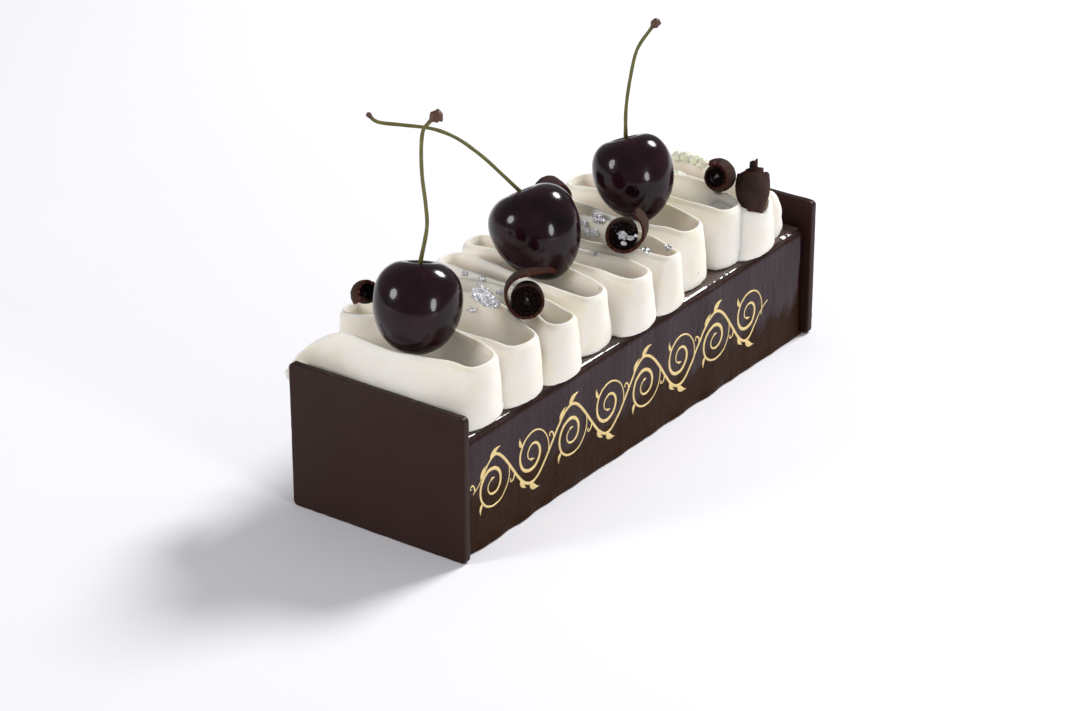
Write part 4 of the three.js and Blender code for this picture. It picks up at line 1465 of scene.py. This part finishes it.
@dataclass
class SilverLeaf:
    """Crumpled scraps of silver leaf lying on the cream.

    Attributes:
        scraps: rows of (pass, x, face, share, size): the ribbon's pass, the place across the
            log, the side of the wall it lies on, how high up, and its size across.
        in_curl: rows of (right, rise, back, size): how far from the middle of the curl's
            mouth it lies to the right, upward and into the roll, and its size across.
        outline: large and small unevenness of a scrap's outline.
        narrow: its second size over its first.
        pitches: distances between folds.
        crease: height of a fold beside its pitch.
        thickness: at its rim.
    """

    scraps: tuple[tuple[float, ...], ...] = (
        (3, 1, -1, 1.0, 8.8),
        (3, 5, -1, 0.97, 7.0),
        (3, 9, -1, 0.97, 5.0),
        (3, -1, -1, 0.76, 3.6),
        (4, 2, -1, 0.90, 2.8),
        (5, -7, -1, 0.95, 3.0),
        (5, -14, -1, 0.95, 2.6),
        (11, -5, -1, 0.77, 6.2),
        (11, -3, -1, 0.98, 5.4),
        (11, -8, -1, 0.88, 4.4),
        (9, 11, -1, 0.97, 2.6),
        (10, 25, -1, 1.0, 3.4),
        (11, 29, -1, 0.98, 3.4),
    )

    in_curl: tuple[tuple[float, ...], ...] = (
        (-0.4, -0.3, 2.2, 4.2),
        (2.4, -1.0, 1.2, 2.6),
        (0.2, -2.9, 1.4, 2.2),
        (4.3, -0.2, 0.4, 1.6),
    )
    outline: tuple[Waves, Waves] = (Waves(0.16, 3.0, 0), Waves(0.13, 0.8, 20))
    narrow: float = 0.72
    pitches: tuple[float, ...] = (1.9, 1.3, 0.9, 0.7, 0.5)
    crease: float = 0.42
    thickness: float = 0.12

    @staticmethod
    def seat(ribbon: CreamRibbon, wall: dict[str, Array], scrap: tuple[float, ...]) -> tuple[Array, Array]:
        """Where a scrap lies on the cream and which way it faces.

        Args:
            ribbon: the cream.
            wall: the cream's walls.
            scrap: its place and size.

        Returns:
            Its middle and its upward direction.
        """
        number, x, face, share, _ = scrap
        index = ribbon.nearest(wall, number, x)
        facing = wall["normal"][index] * (1.0 if np.sign(wall["normal"][index][1]) == face else -1.0)
        half = float(ribbon.half_thickness(np.array(share)))
        place = ribbon.point(wall, index, share, 0.0) + facing * half
        return place, unit(facing + np.array([0.0, 0.0, 0.6 + share]))

    def rings(self, place: Array, up: Array, size: float, seed: int) -> Array:
        """A ragged disc of leaf, crumpled.

        Its height is a sum of folds, each a zigzag that runs along a drawn lean.

        Args:
            place: its middle.
            up: the way it faces.
            size: its size across.
            seed: picks its outline and folds.

        Returns:
            Closed rings of the thin leaf.
        """
        across = unit(np.cross(up, np.array([0.3, 0.2, 1.0])))
        other = np.cross(up, across)
        radius = np.linspace(0.02, 1.0, 20)[:, None]
        angle = (2 * np.pi * np.arange(52) / 52)[None, :]
        circle = np.stack([np.cos(angle), np.sin(angle)], -1)[0]
        large, small = (waves.at(circle * size, seed) for waves in self.outline)
        ragged = 0.5 * size * (0.9 + large + small)
        a, b = radius * ragged * np.cos(angle), self.narrow * radius * ragged * np.sin(angle)
        draw = np.random.default_rng(seed)
        fold = np.zeros(a.shape)
        for pitch in self.pitches:
            lean, start = draw.uniform(0, np.pi), draw.uniform()
            run = (a * np.cos(lean) + b * np.sin(lean)) / pitch + start
            fold += self.crease * pitch * np.abs(run - np.round(run))
        sheet = place + a[..., None] * across + b[..., None] * other + (0.2 + fold)[..., None] * up
        low = sheet - up * (self.thickness + 0.5 * fold[..., None] * radius[..., None])
        return np.concatenate([low, sheet[::-1]], axis=0)

    def build(self, finishes: Finishes, ribbon: CreamRibbon, curl: "Curl") -> None:
        """Builds every scrap as one piece and dresses it.

        Args:
            finishes: the cake's materials.
            ribbon: the cream most of them lie on.
            curl: the curl that holds the rest in its mouth.
        """
        wall = ribbon.walls()
        skin = Skin()
        for seed, scrap in enumerate(self.scraps):
            skin.add(self.rings(*self.seat(ribbon, wall, scrap), scrap[4], 300 + seed))
        axis, across, upward = curl.axes()
        for seed, (right, rise, back, size) in enumerate(self.in_curl):
            place = np.array(curl.mouth) + right * across + rise * upward - back * axis
            skin.add(self.rings(place, unit(axis + 0.3 * across + 0.2 * upward), size, 330 + seed))
        settle(skin.build("silver_leaf", finishes.silver, CREASES))


@dataclass
class SugarCrumbs:
    """Pale sugar crumbs between the last passes of the cream.

    Each crumb is (pass, x, size).
    """

    crumbs: tuple[tuple[float, float, float], ...] = (
        (17, -14.0, 5.2), (17, -10.5, 5.6), (17, -6.5, 5.0),
        (17, -2.5, 5.4), (16, -9.0, 4.4), (16, -4.0, 4.8),
    )
    sink: float = 1.2
    shape: tuple[float, float, float] = (1.0, 0.85, 0.75)
    uneven: Waves = Waves(0.16, 2.2, 500)

    def build(self, finishes: Finishes, ribbon: CreamRibbon) -> None:
        """Builds the crumbs as one piece and dresses it.

        Args:
            finishes: the cake's materials.
            ribbon: the cream they lie on.
        """
        wall = ribbon.walls()
        skin = Skin()
        ball = ball_rings(22, 28) * np.array(self.shape)
        for number, (passing, x, size) in enumerate(self.crumbs):
            place = wall["rim"][ribbon.nearest(wall, passing, x)]
            lump = ball * size / 2
            lump = lump * (1.0 + self.uneven.at(lump, number)[..., None])
            skin.add(lump + place - np.array([0.0, 0.0, self.sink]))
        settle(skin.build("sugar_crumbs", finishes.sugar, ALL_SMOOTH))


# ---- Chocolate curls ----
@dataclass(kw_only=True)
class Curl:
    """A thin sheet of chocolate rolled up on itself, with torn edges.

    Attributes:
        name: where it lies.
        mouth: middle of its open end.
        looks: the way the open end faces.
        near: outer radius at the mouth.
        far: outer radius at the other end.
        bulge: how far the barrel swells between them.
        core: radius of the innermost turn.
        length: along its axis.
        turns: how often the sheet goes round.
        fill: share of its pitch that the sheet fills at the mouth.
        roll: turn of the whole spiral, in degrees.
        seed: picks its torn edges.
        hollow: how deep the roll's core lies in the mouth.
        peak: how far the core stands out at the far end.
        stand_off: how far the end of the sheet stands off the roll at the mouth.
        flare: how much more it does at the far end.
        flap: length of the loose end that swings free.
        wound: 1 if it widens anticlockwise seen from the mouth, else -1.
        torn: how unevenly its far edge is torn.
        edge: thickness of the sheet's loose stretch.
        core_fill: greatest share of its own radius that the sheet fills.
        full_fill: share of its pitch that the sheet fills further in.
        peak_power: how fast the peak falls away from the core.
        loose_turns: turns over which the sheet's end comes loose.
        flap_bend: how fast the loose end bends back.
        turn_steps: points in each turn.
        uneven: unevenness of the roll beside its radius.
        tears: large and small tears of its edges.
        flap_tears: unevenness of the loose end's length.
        flap_sway: unevenness of its bend.
    """

    name: str
    mouth: tuple[float, float, float]
    looks: tuple[float, float, float]
    near: float
    far: float
    bulge: float
    core: float
    length: float
    turns: float
    fill: float
    roll: float
    seed: int
    hollow: float = 0.0
    peak: float = 0.0
    stand_off: float = 0.0
    flare: float = 0.0
    flap: float = 0.0
    wound: float = 1.0
    torn: float = 0.5
    edge: float = 0.75
    core_fill: float = 0.8
    full_fill: float = 0.94
    peak_power: float = 1.8
    loose_turns: float = 1 / 3
    flap_bend: float = 0.018
    turn_steps: int = 72
    uneven: Waves = Waves(0.012, 9.0, 0)
    tears: tuple[Waves, Waves] = (Waves(0.38, 2.2, 7), Waves(0.30, 0.8, 8))
    flap_tears: Waves = Waves(0.10, 2.0, 11)
    flap_sway: Waves = Waves(0.006, 6.0, 12)

    def barrel(self, part: Array) -> Array:
        """Outer radius at a share of the length: a taper plus half a sine."""
        return self.near + (self.far - self.near) * part + self.bulge * np.sin(np.pi * part)

    def rings(self) -> tuple[Array, Array, Array]:
        """Rings of the rolled sheet from its mouth to its far end.

        Along the spiral the outer radius grows evenly from the core to the barrel's own,
        which tapers and swells by half a sine; the last stretch stands off the roll by a
        smooth step and thins.  The core lies back in the mouth and stands out at the far end.

        Returns:
            The rings, a mark that is 1 where the roll's hollow gets its painted shade, on the inner face and
            on the covered turns towards the mouth, and one that is 1 at torn edges, faint on the inner turns
            so that their rims keep a painted shade.
        """
        steps = round(self.turns * self.turn_steps) + 1
        rows = [[0, 0.02, 0.06], np.linspace(0.1, 0.9, 18), [0.95, 0.98, 1.0]]
        share = np.concatenate(rows)[:, None]
        way = np.linspace(0, 1, steps)[None, :]
        angle = 2 * np.pi * self.turns * way
        back = share * (self.length + self.peak * (1 - way) ** self.peak_power)
        depth = back + (1 - share) * self.hollow * (1 - way)
        part = np.clip(depth / self.length, 0, 1)
        barrel = self.barrel(part)
        loose = smoothstep(1 - self.turns * (1 - way) / self.loose_turns)
        pitch = (barrel - self.core) / (self.turns - self.loose_turns)
        reach = self.core + pitch * self.turns * way + (self.stand_off + self.flare * share) * loose
        fill = self.fill + (self.full_fill - self.fill) * smoothstep((share - 0.1) / 0.3)
        sheet = pitch * fill * (1 - loose) + self.edge * loose
        ripple = np.stack([6.0 * np.cos(angle), 6.0 * np.sin(angle), 3.0 * way], -1)
        reach = reach * (1.0 + self.uneven.at(ripple, self.seed))
        around = np.stack([np.cos(angle), np.sin(angle)], -1) + 0.0 * reach[..., None]
        outer = reach[..., None] * around
        inner = (reach - np.minimum(sheet, reach * self.core_fill))[..., None] * around
        if self.flap > 0:
            outer, inner = self.add_flap(outer, inner, share[:, 0])
            pointed = 0.75 * np.linspace(0, 1, outer.shape[1] - steps + 1)[None, 1:] ** 2
            onward = depth[:, -1:] * (1 - pointed) + 0.6 * self.length * pointed
            depth = np.concatenate([depth, onward], axis=1)
        columns = outer.shape[1]
        section = np.concatenate([outer, inner[:, ::-1]], axis=1)
        depth = np.concatenate([depth, depth[:, ::-1]], axis=1)
        torn = sum(tears.at(section[:1], self.seed) for tears in self.tears)
        gone = np.minimum(np.arange(columns) / self.turn_steps, self.turns)
        last = smoothstep((gone - self.turns + 0.9) / 0.5)
        last = np.concatenate([last, last[::-1]])[None, :]
        depth = depth + torn * (0.3 + 0.7 * last) * (1 - share) + self.torn * torn * share**4
        turn = math.radians(self.roll)
        spin = np.array([[math.cos(turn), math.sin(turn)], [-math.sin(turn), math.cos(turn)]])
        section = section @ spin
        axis, across, upward = self.axes()
        rings = np.array(self.mouth) - depth[..., None] * axis
        rings = rings + self.wound * section[..., :1] * across + section[..., 1:] * upward
        # Painted shade of the roll's hollow: the inner face, and the outer face of the covered turns towards
        # the mouth, take the near-black inside colour.
        inside = np.zeros(rings.shape[:2])
        inside[:, columns:] = 1.0
        covered = smoothstep((self.turns - 1.0 - gone) / 0.1)[None, :]
        inside[:, :columns] = covered * (1 - smoothstep((share - 0.5) / 0.3))
        lip = np.clip(1.0 - share / 0.07, 0, 1) + np.clip(1.0 - (1.0 - share) / 0.05, 0, 1)
        # The torn colour stays faint on the inner turns, whose rims are left dark as painted shade.
        lip = lip * (0.06 + 0.54 * last)
        end = np.zeros(columns)
        end[-18:] = np.linspace(0.1, 0.32 if self.flap > 3 else 0.1, 18)
        end[-2:] = 1.0
        edge = np.clip(lip + np.concatenate([end, end[::-1]])[None, :], 0, 1)
        return rings, inside, edge

    def add_flap(self, outer: Array, inner: Array, share: Array) -> tuple[Array, Array]:
        """Adds the loose end to both faces of the sheet, its edge torn unevenly.

        It leaves at a tangent and bends back with the square of its length.

        Args:
            outer: the outer face's section at each depth.
            inner: the inner face's.
            share: share of the depth, one for each row.

        Returns:
            The two faces, longer.
        """
        last = 2 * math.pi * self.turns
        outward = np.array([math.cos(last), math.sin(last)])
        onward = np.array([-math.sin(last), math.cos(last)])
        depth = share[:, None] * self.length
        ragged = 1.0 + self.flap_tears.at(depth, self.seed)[:, None]
        step = np.linspace(0, 1, 19)[1:][None, :] * ragged * self.flap
        curve = self.flap_bend + self.flap_sway.at(depth, self.seed)[:, None]
        move = step[..., None] * onward - (curve * step**2)[..., None] * outward
        longer = [np.concatenate([face, face[:, -1:] + move], axis=1) for face in (outer, inner)]
        return longer[0], longer[1]

    def press(self, points: Array) -> Array:
        """Pushes points that would be inside the roll straight down out of it.

        A point leaves either through the barrel's side or through the lower of its two ends,
        whichever is nearer below.

        Args:
            points: array (..., 3).

        Returns:
            The same points, with heights lowered where the curl lies on them.
        """
        axis, _, _ = self.axes()
        away = points - np.array(self.mouth)
        depth = -(away @ axis)
        part = np.clip(depth / self.length, 0, 1)
        radius = self.barrel(part) + CLEARANCE
        flat = away + depth[..., None] * axis
        fall = np.array([0.0, 0.0, 1.0]) - axis[2] * axis
        steep = fall @ fall
        inward = flat @ fall
        room = radius**2 - np.sum(flat * flat, axis=-1)
        side = (inward + np.sqrt(np.clip(inward**2 + steep * room, 0, None))) / steep
        near, far = depth + CLEARANCE, self.length + CLEARANCE - depth
        end = np.where(axis[2] < 0, near, far) / max(abs(axis[2]), 0.01)
        within = (room > 0) & (near > 0) & (far > 0)
        drop = np.where(within, np.minimum(side, end), 0.0)
        return points - drop[..., None] * np.array([0.0, 0.0, 1.0])

    def axes(self) -> tuple[Array, Array, Array]:
        """The curl's own directions: out of its mouth, across it and upward in it."""
        axis = unit(np.array(self.looks))
        helper = np.array([0.0, 1.0, 0.0]) if abs(axis[2]) > 0.9 else np.array([0.0, 0.0, 1.0])
        across = unit(np.cross(helper, axis))
        return axis, across, np.cross(axis, across)

    def build(self, finishes: Finishes) -> None:
        """Builds the curl and dresses it."""
        rings, inner, edge = self.rings()
        skin = Skin().add(rings, inner=inner, edge=edge)
        piece = skin.build(f"{self.name}_curl", finishes.curl, TORN_EDGES)
        settle(piece, (f"curl_{self.name}",))


# ---- Gold vine scroll ----
@dataclass
class VineScroll:
    """A running vine in gold along the log's right side: a waving stem, spirals and leaves.

    Attributes:
        start: where the vine begins along the log.
        end: where it ends.
        level: height of its middle.
        wave: how far the stem waves up and down.
        pitch: length of one whole wave.
        hollow: radius at which a spiral leaves the stem.
        windings: turns of a spiral.
        stroke: half the width of the stem's stroke.
        proud: how far the gold stands off the glaze.
        fade: length over which the stem fades out at each end.
        faded: share of its wave and stroke that is left there.
        spiral_start: angle at which a spiral leaves the stem, in radians.
        spiral_shrink: share of its radius that a spiral loses.
        stem_leaves: rows of (back, lean, size): how far before a crest a leaf leaves the
            stem, its lean from the stem in radians, and its length.
        hook_back: how far before a crest a hook leaves the stem.
        hook_heading: the way it starts, in radians.
        hook_size: its length.
    """

    start: float = -97.0
    end: float = 77.0
    level: float = 21.5
    wave: float = 9.6
    pitch: float = 43.0
    hollow: float = 9.6
    windings: float = 1.7
    stroke: float = 0.50
    proud: float = 0.16
    fade: float = 14.0
    faded: float = 0.35
    spiral_start: float = math.radians(24)
    spiral_shrink: float = 0.80
    stem_leaves: tuple[tuple[float, float, float], ...] = ((6.2, 0.55, 5.4), (1.2, 0.75, 6.4))
    hook_back: float = 9.5
    hook_heading: float = math.radians(98)
    hook_size: float = 7.5

    def stem(self) -> tuple[Array, Array]:
        """The waving stem: height is a sine of the distance, tapering at both ends."""
        y = np.linspace(self.start, self.end, 420)
        fade = smoothstep((y - self.start) / self.fade) * smoothstep((self.end - y) / self.fade)
        left = self.faded + (1 - self.faded) * fade
        z = self.level + self.wave * np.sin(2 * np.pi * (y - self.start) / self.pitch) * left
        return np.stack([y, z], -1), self.stroke * left

    def spiral(self, crest: float, way: float) -> tuple[Array, Array]:
        """A spiral in the hollow of one wave, whose radius shrinks evenly with its angle.

        Args:
            crest: where the wave stands highest or lowest.
            way: 1.0 under a high crest, -1.0 over a low one.

        Returns:
            Its path and half widths.
        """
        t = np.linspace(0, 1, 150)
        angle = self.spiral_start - 2 * np.pi * self.windings * t
        radius = self.hollow * (1 - self.spiral_shrink * t**0.85)
        y = crest + radius * np.cos(angle)
        z = self.level + way * (radius * np.sin(angle) - 0.8)
        return np.stack([y, z], -1), self.stroke * (0.45 + 0.75 * np.sin(np.pi * t) ** 2)

    def tendril(self, root: Array, heading: float, way: float, size: float) -> tuple[Array, Array]:
        """A thin hook that leaves the stem: its turn grows with its length."""
        t = np.linspace(0, 1, 60)
        angle = heading + way * (0.3 * t + 4.4 * t**2)
        step = size * (1 - 0.6 * t) / len(t)
        path = root + np.cumsum(np.stack([np.cos(angle), np.sin(angle)], -1) * step[:, None], axis=0)
        return path, self.stroke * (0.75 - 0.45 * t)

    def leaf(self, root: Array, heading: float, size: float, bend: float) -> tuple[Array, Array]:
        """A leaf: one short bent stroke, widest a third of the way along."""
        t = np.linspace(0, 1, 30)
        angle = heading + bend * t
        step = size / len(t)
        path = root + np.cumsum(np.stack([np.cos(angle), np.sin(angle)], -1) * step, axis=0)
        return path, np.maximum(size * 0.17 * np.sin(np.pi * t**0.7) ** 1.2, 0.06)

    @staticmethod
    def root(path: Array, y: float) -> Array:
        """The stem's point at a place along the log."""
        return np.array([y, np.interp(y, path[:, 0], path[:, 1])])

    def strokes(self) -> list[tuple[Array, Array]]:
        """Every stroke of the vine as its path and half widths."""
        path, width = self.stem()
        made = [(path, width)]
        crests = np.arange(self.start + self.pitch / 4, self.end - 8, self.pitch / 2)
        for k, crest in enumerate(crests):
            way = 1.0 if k % 2 == 0 else -1.0
            curled, thin = self.spiral(float(crest), way)
            made.append((curled, thin))
            along = curled[-1] - curled[-6]
            made.append(self.leaf(curled[-1], math.atan2(along[1], along[0]), 2.6, -0.8 * way))
            made.append(self.leaf(curled[40], math.radians(-135) * way, 4.2, 0.9 * way))
            for back, lean, size in self.stem_leaves:
                slope = -self.wave * 2 * math.pi / self.pitch * math.sin(2 * math.pi * -back / self.pitch)
                heading = way * (math.atan(slope) + lean)
                made.append(self.leaf(self.root(path, crest - back), heading, size, -0.9 * way))
            root = self.root(path, crest - self.hook_back)
            made.append(self.tendril(root, way * self.hook_heading, way, self.hook_size))
        return made

    def rings(self, path: Array, width: Array, log: GlazedLog) -> Array:
        """A thin domed stroke on the glaze.

        Args:
            path: middle of the stroke as y and z.
            width: half its width at each point.
            log: the log it is painted on.

        Returns:
            Closed rings.
        """
        along = unit(np.gradient(path, axis=0))
        side = np.stack([-along[:, 1], along[:, 0]], -1)
        across = np.array([-1.0, -0.6, 0.0, 0.6, 1.0, 1.0, 0.6, 0.0, -0.6, -1.0])
        lift = np.array([0.0, 0.75, 1.0, 0.75, 0.0, -0.6, -0.6, -0.6, -0.6, -0.6]) * self.proud
        flat = path[:, None] + side[:, None] * (width[:, None] * across[None, :])[..., None]
        skin = log.half_width + log.swell(flat[..., 0], flat[..., 1], np.ones(flat.shape[:2]))
        return np.stack([skin + lift[None, :], flat[..., 0], flat[..., 1]], -1)

    def build(self, finishes: Finishes, log: GlazedLog) -> None:
        """Builds the vine as one piece and dresses it.

        Args:
            finishes: the cake's materials.
            log: the log it is painted on.
        """
        skin = Skin()
        for path, width in self.strokes():
            skin.add(self.rings(path, width, log))
        settle(skin.build("gold_vine", finishes.gold, ALL_SMOOTH))


# ---- Studio ----
@dataclass(frozen=True)
class SoftBox:
    """A soft oval light that looks at the cake.

    Attributes:
        name: its name.
        direction: from the cake towards it.
        distance: metres from the cake.
        size: its two widths in metres.
        power: watts.
        colour: linear red, green and blue.
    """

    name: str
    direction: tuple[float, float, float]
    distance: float
    size: tuple[float, float]
    power: float
    colour: tuple[float, float, float] = (1.0, 1.0, 1.0)

    def make(self) -> None:
        """Adds the light to the scene."""
        lamp = bpy.data.lights.new(self.name, "AREA")
        lamp.shape = "ELLIPSE"
        lamp.size, lamp.size_y = self.size
        lamp.energy = self.power
        lamp.color = self.colour
        holder = bpy.data.objects.new(self.name, lamp)
        way = Vector(self.direction).normalized()
        holder.location = way * self.distance + Vector((0.0, 0.0, 0.05))
        holder.rotation_mode = "QUATERNION"
        holder.rotation_quaternion = way.to_track_quat("Z", "Y")
        bpy.context.scene.collection.objects.link(holder)


@dataclass
class Studio:
    """Camera, pale floor and soft lights.

    Attributes:
        position: the camera's place in millimetres.
        azimuth: its way round the cake, in degrees.
        elevation: its height above the horizon, in degrees.
        roll: its tilt about its own view, in degrees.
        lens: focal length on a sensor 36 mm wide.
    """

    position: tuple[float, float, float] = (598.535, -853.048, 533.796)
    azimuth: float = 35.6626
    elevation: float = 26.1465
    roll: float = -0.0954
    lens: float = 115.445
    boxes: tuple[SoftBox, ...] = (
        SoftBox("key_behind", (0.20, 0.72, 0.70), 1.4, (0.50, 0.40), 19.0),
        SoftBox("left_front", (-0.46, -0.83, 0.34), 1.3, (0.40, 0.44), 6.3),
        SoftBox("right_low", (0.94, -0.28, 0.20), 1.2, (0.28, 0.38), 4.0),
    )

    def camera(self) -> None:
        """Places the camera from its angles; its axes are turned by the roll."""
        a, e, r = (math.radians(part) for part in (self.azimuth, self.elevation, self.roll))
        back = Vector((math.sin(a) * math.cos(e), -math.cos(a) * math.cos(e), math.sin(e)))
        flat_x = Vector((0.0, 0.0, 1.0)).cross(back).normalized()
        flat_y = back.cross(flat_x)
        x = math.cos(r) * flat_x + math.sin(r) * flat_y
        y = -math.sin(r) * flat_x + math.cos(r) * flat_y
        lens = bpy.data.cameras.new("camera")
        lens.lens = self.lens
        lens.sensor_fit = "HORIZONTAL"
        lens.sensor_width = 36.0
        lens.clip_start, lens.clip_end = 0.01, 50.0
        holder = bpy.data.objects.new("camera", lens)
        bpy.context.scene.collection.objects.link(holder)
        turn = Matrix((x, y, back)).transposed().to_4x4()
        holder.matrix_world = Matrix.Translation(Vector(self.position) * MM) @ turn
        bpy.context.scene.camera = holder

    def floor(self) -> None:
        """Lays a wide pale floor that isn't part of the cake."""
        mesh = bpy.data.meshes.new("floor")
        mesh.from_pydata([(-6, -6, 0), (6, -6, 0), (6, 6, 0), (-6, 6, 0)], [], [(0, 1, 2, 3)])
        paint = bpy.data.materials.new("floor")
        paint.use_nodes = True
        shader = paint.node_tree.nodes["Principled BSDF"]
        shader.inputs["Base Color"].default_value = (0.94, 0.93, 0.97, 1.0)
        shader.inputs["Roughness"].default_value = 0.9
        shader.inputs["Specular IOR Level"].default_value = 0.1
        mesh.materials.append(paint)
        floor = bpy.data.objects.new("floor", mesh)
        bpy.context.scene.collection.objects.link(floor)
        floor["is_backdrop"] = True

    def world(self) -> None:
        """Fills the room with even pale light."""
        world = bpy.data.worlds.new("room")
        world.use_nodes = True
        sky = world.node_tree.nodes["Background"]
        sky.inputs["Color"].default_value = (0.97, 0.98, 1.0, 1.0)
        sky.inputs["Strength"].default_value = 0.29
        bpy.context.scene.world = world

    def build(self) -> None:
        """Sets up the whole studio."""
        self.camera()
        self.floor()
        self.world()
        for box in self.boxes:
            box.make()
        bpy.context.scene.view_settings.view_transform = "Standard"


# ---- The cake ----
CHERRIES = [
    Cherry("front", (3.7, -86.0, 76.7), 28.5, 13.3, 16.9, (3.7, 19.9), (0.81, 0.95), (
        (3.9, -81.1, 99.7), (3.8, -81.2, 107.5), (3.0, -81.8, 117.7), (2.9, -81.9, 126.7),
        (3.4, -81.5, 132.7), (4.6, -80.7, 135.0), (6.4, -79.4, 137.3), (8.4, -77.9, 138.3),
    ), 1.9, 101),
    Cherry("middle", (-0.9, -16.8, 77.0), 30.2, 12.4, 19.5, (-22.8, 19.1), (0.76, 1.18), (
        (-11.8, -20.5, 93.7), (-16.5, -23.8, 99.4), (-22.2, -27.9, 105.1), (-26.9, -31.3, 108.2),
        (-31.6, -34.6, 109.8), (-38.2, -39.4, 110.8), (-44.3, -43.8, 111.9), (-47.1, -45.8, 115.0),
    ), 0.9, 102),
    Cherry("back", (2.9, 35.7, 78.2), 27.6, 12.6, 17.5, (-15.0, 19.0), (0.62, 1.3), (
        (-1.2, 36.8, 99.5), (-0.2, 37.5, 110.4), (1.6, 38.8, 121.1), (5.1, 41.3, 128.3),
        (7.5, 43.0, 132.1),
    ), 1.6, 103),
]
CURLS = [
    Curl(
        name="left_of_front_cherry", seed=201, roll=330.0,
        mouth=(-19.0, -81.5, 72.0), looks=(0.8, -0.34, 0.5), turns=20 / 12, fill=0.6,
        near=3.9, far=2.6, bulge=1.1, core=1.6, length=8.5, hollow=2.0,
    ),
    Curl(
        name="before_middle_cherry", seed=202, roll=312.0, wound=-1.0,
        mouth=(23.6, -55.3, 70.4), looks=(0.56, -0.78, 0.28), turns=52 / 12, fill=0.83,
        near=6.2, far=5.9, bulge=0.2, core=1.0, length=9.5, hollow=2.0,
        stand_off=1.5, flare=0.9, flap=10.8,
    ),
    Curl(
        name="behind_middle_cherry", seed=203, roll=310.0,
        mouth=(-13.4, 15.0, 71.0), looks=(0.8, -0.6, 0.05), turns=22 / 12, fill=0.6,
        near=5.8, far=5.4, bulge=0.3, core=1.6, length=11.0, hollow=1.5,
    ),
    Curl(
        name="before_back_cherry", seed=204, roll=172.0, torn=1.4,
        mouth=(19.8, 4.6, 70.4), looks=(0.52, -0.8, 0.3), turns=44 / 12, fill=0.8,
        near=6.3, far=5.9, bulge=0.2, core=1.2, length=9.5, hollow=3.0,
        stand_off=0.9, flare=2.4, flap=1.8,
    ),
    Curl(
        name="right_of_back_cherry", seed=205, roll=245.0,
        mouth=(17.7, 63.9, 70.0), looks=(0.18, -0.94, 0.27), turns=32 / 12, fill=0.8,
        near=4.5, far=4.4, bulge=1.4, core=1.8, length=8.5, hollow=0.8,
    ),
    Curl(
        name="standing_at_the_back", seed=206, roll=20.0, torn=0.7,
        mouth=(31.2, 68.0, 58.9), looks=(0.3, -0.5, -0.8), turns=32 / 12, fill=0.65,
        near=3.3, far=6.0, bulge=1.5, core=1.0, length=13.0, peak=6.0,
    ),
]


def main() -> None:
    """Builds the studio and every piece of the cake."""
    logging.basicConfig(level=logging.INFO, format="%(name)s: %(message)s")
    Studio().build()
    finishes = Finishes.make()
    log = GlazedLog()
    log.build(finishes)
    Plaque("front", -104.3, 1.0, 71).build(finishes)
    Plaque("back", 104.3, -1.0, 74).build(finishes)
    ribbon = CreamRibbon()
    ribbon.build(finishes, [*CHERRIES, *CURLS])
    SilverLeaf().build(finishes, ribbon, CURLS[3])
    SugarCrumbs().build(finishes, ribbon)
    for cherry in CHERRIES:
        cherry.build(finishes)
    for curl in CURLS:
        curl.build(finishes)
    VineScroll().build(finishes, log)
    sizes = {"cad": CAD_BOX, "visual": [list(corner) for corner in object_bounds()]}
    sizes = {key: [[float(part) for part in corner] for corner in box] for key, box in sizes.items()}


if __name__ == "__main__":
    main()
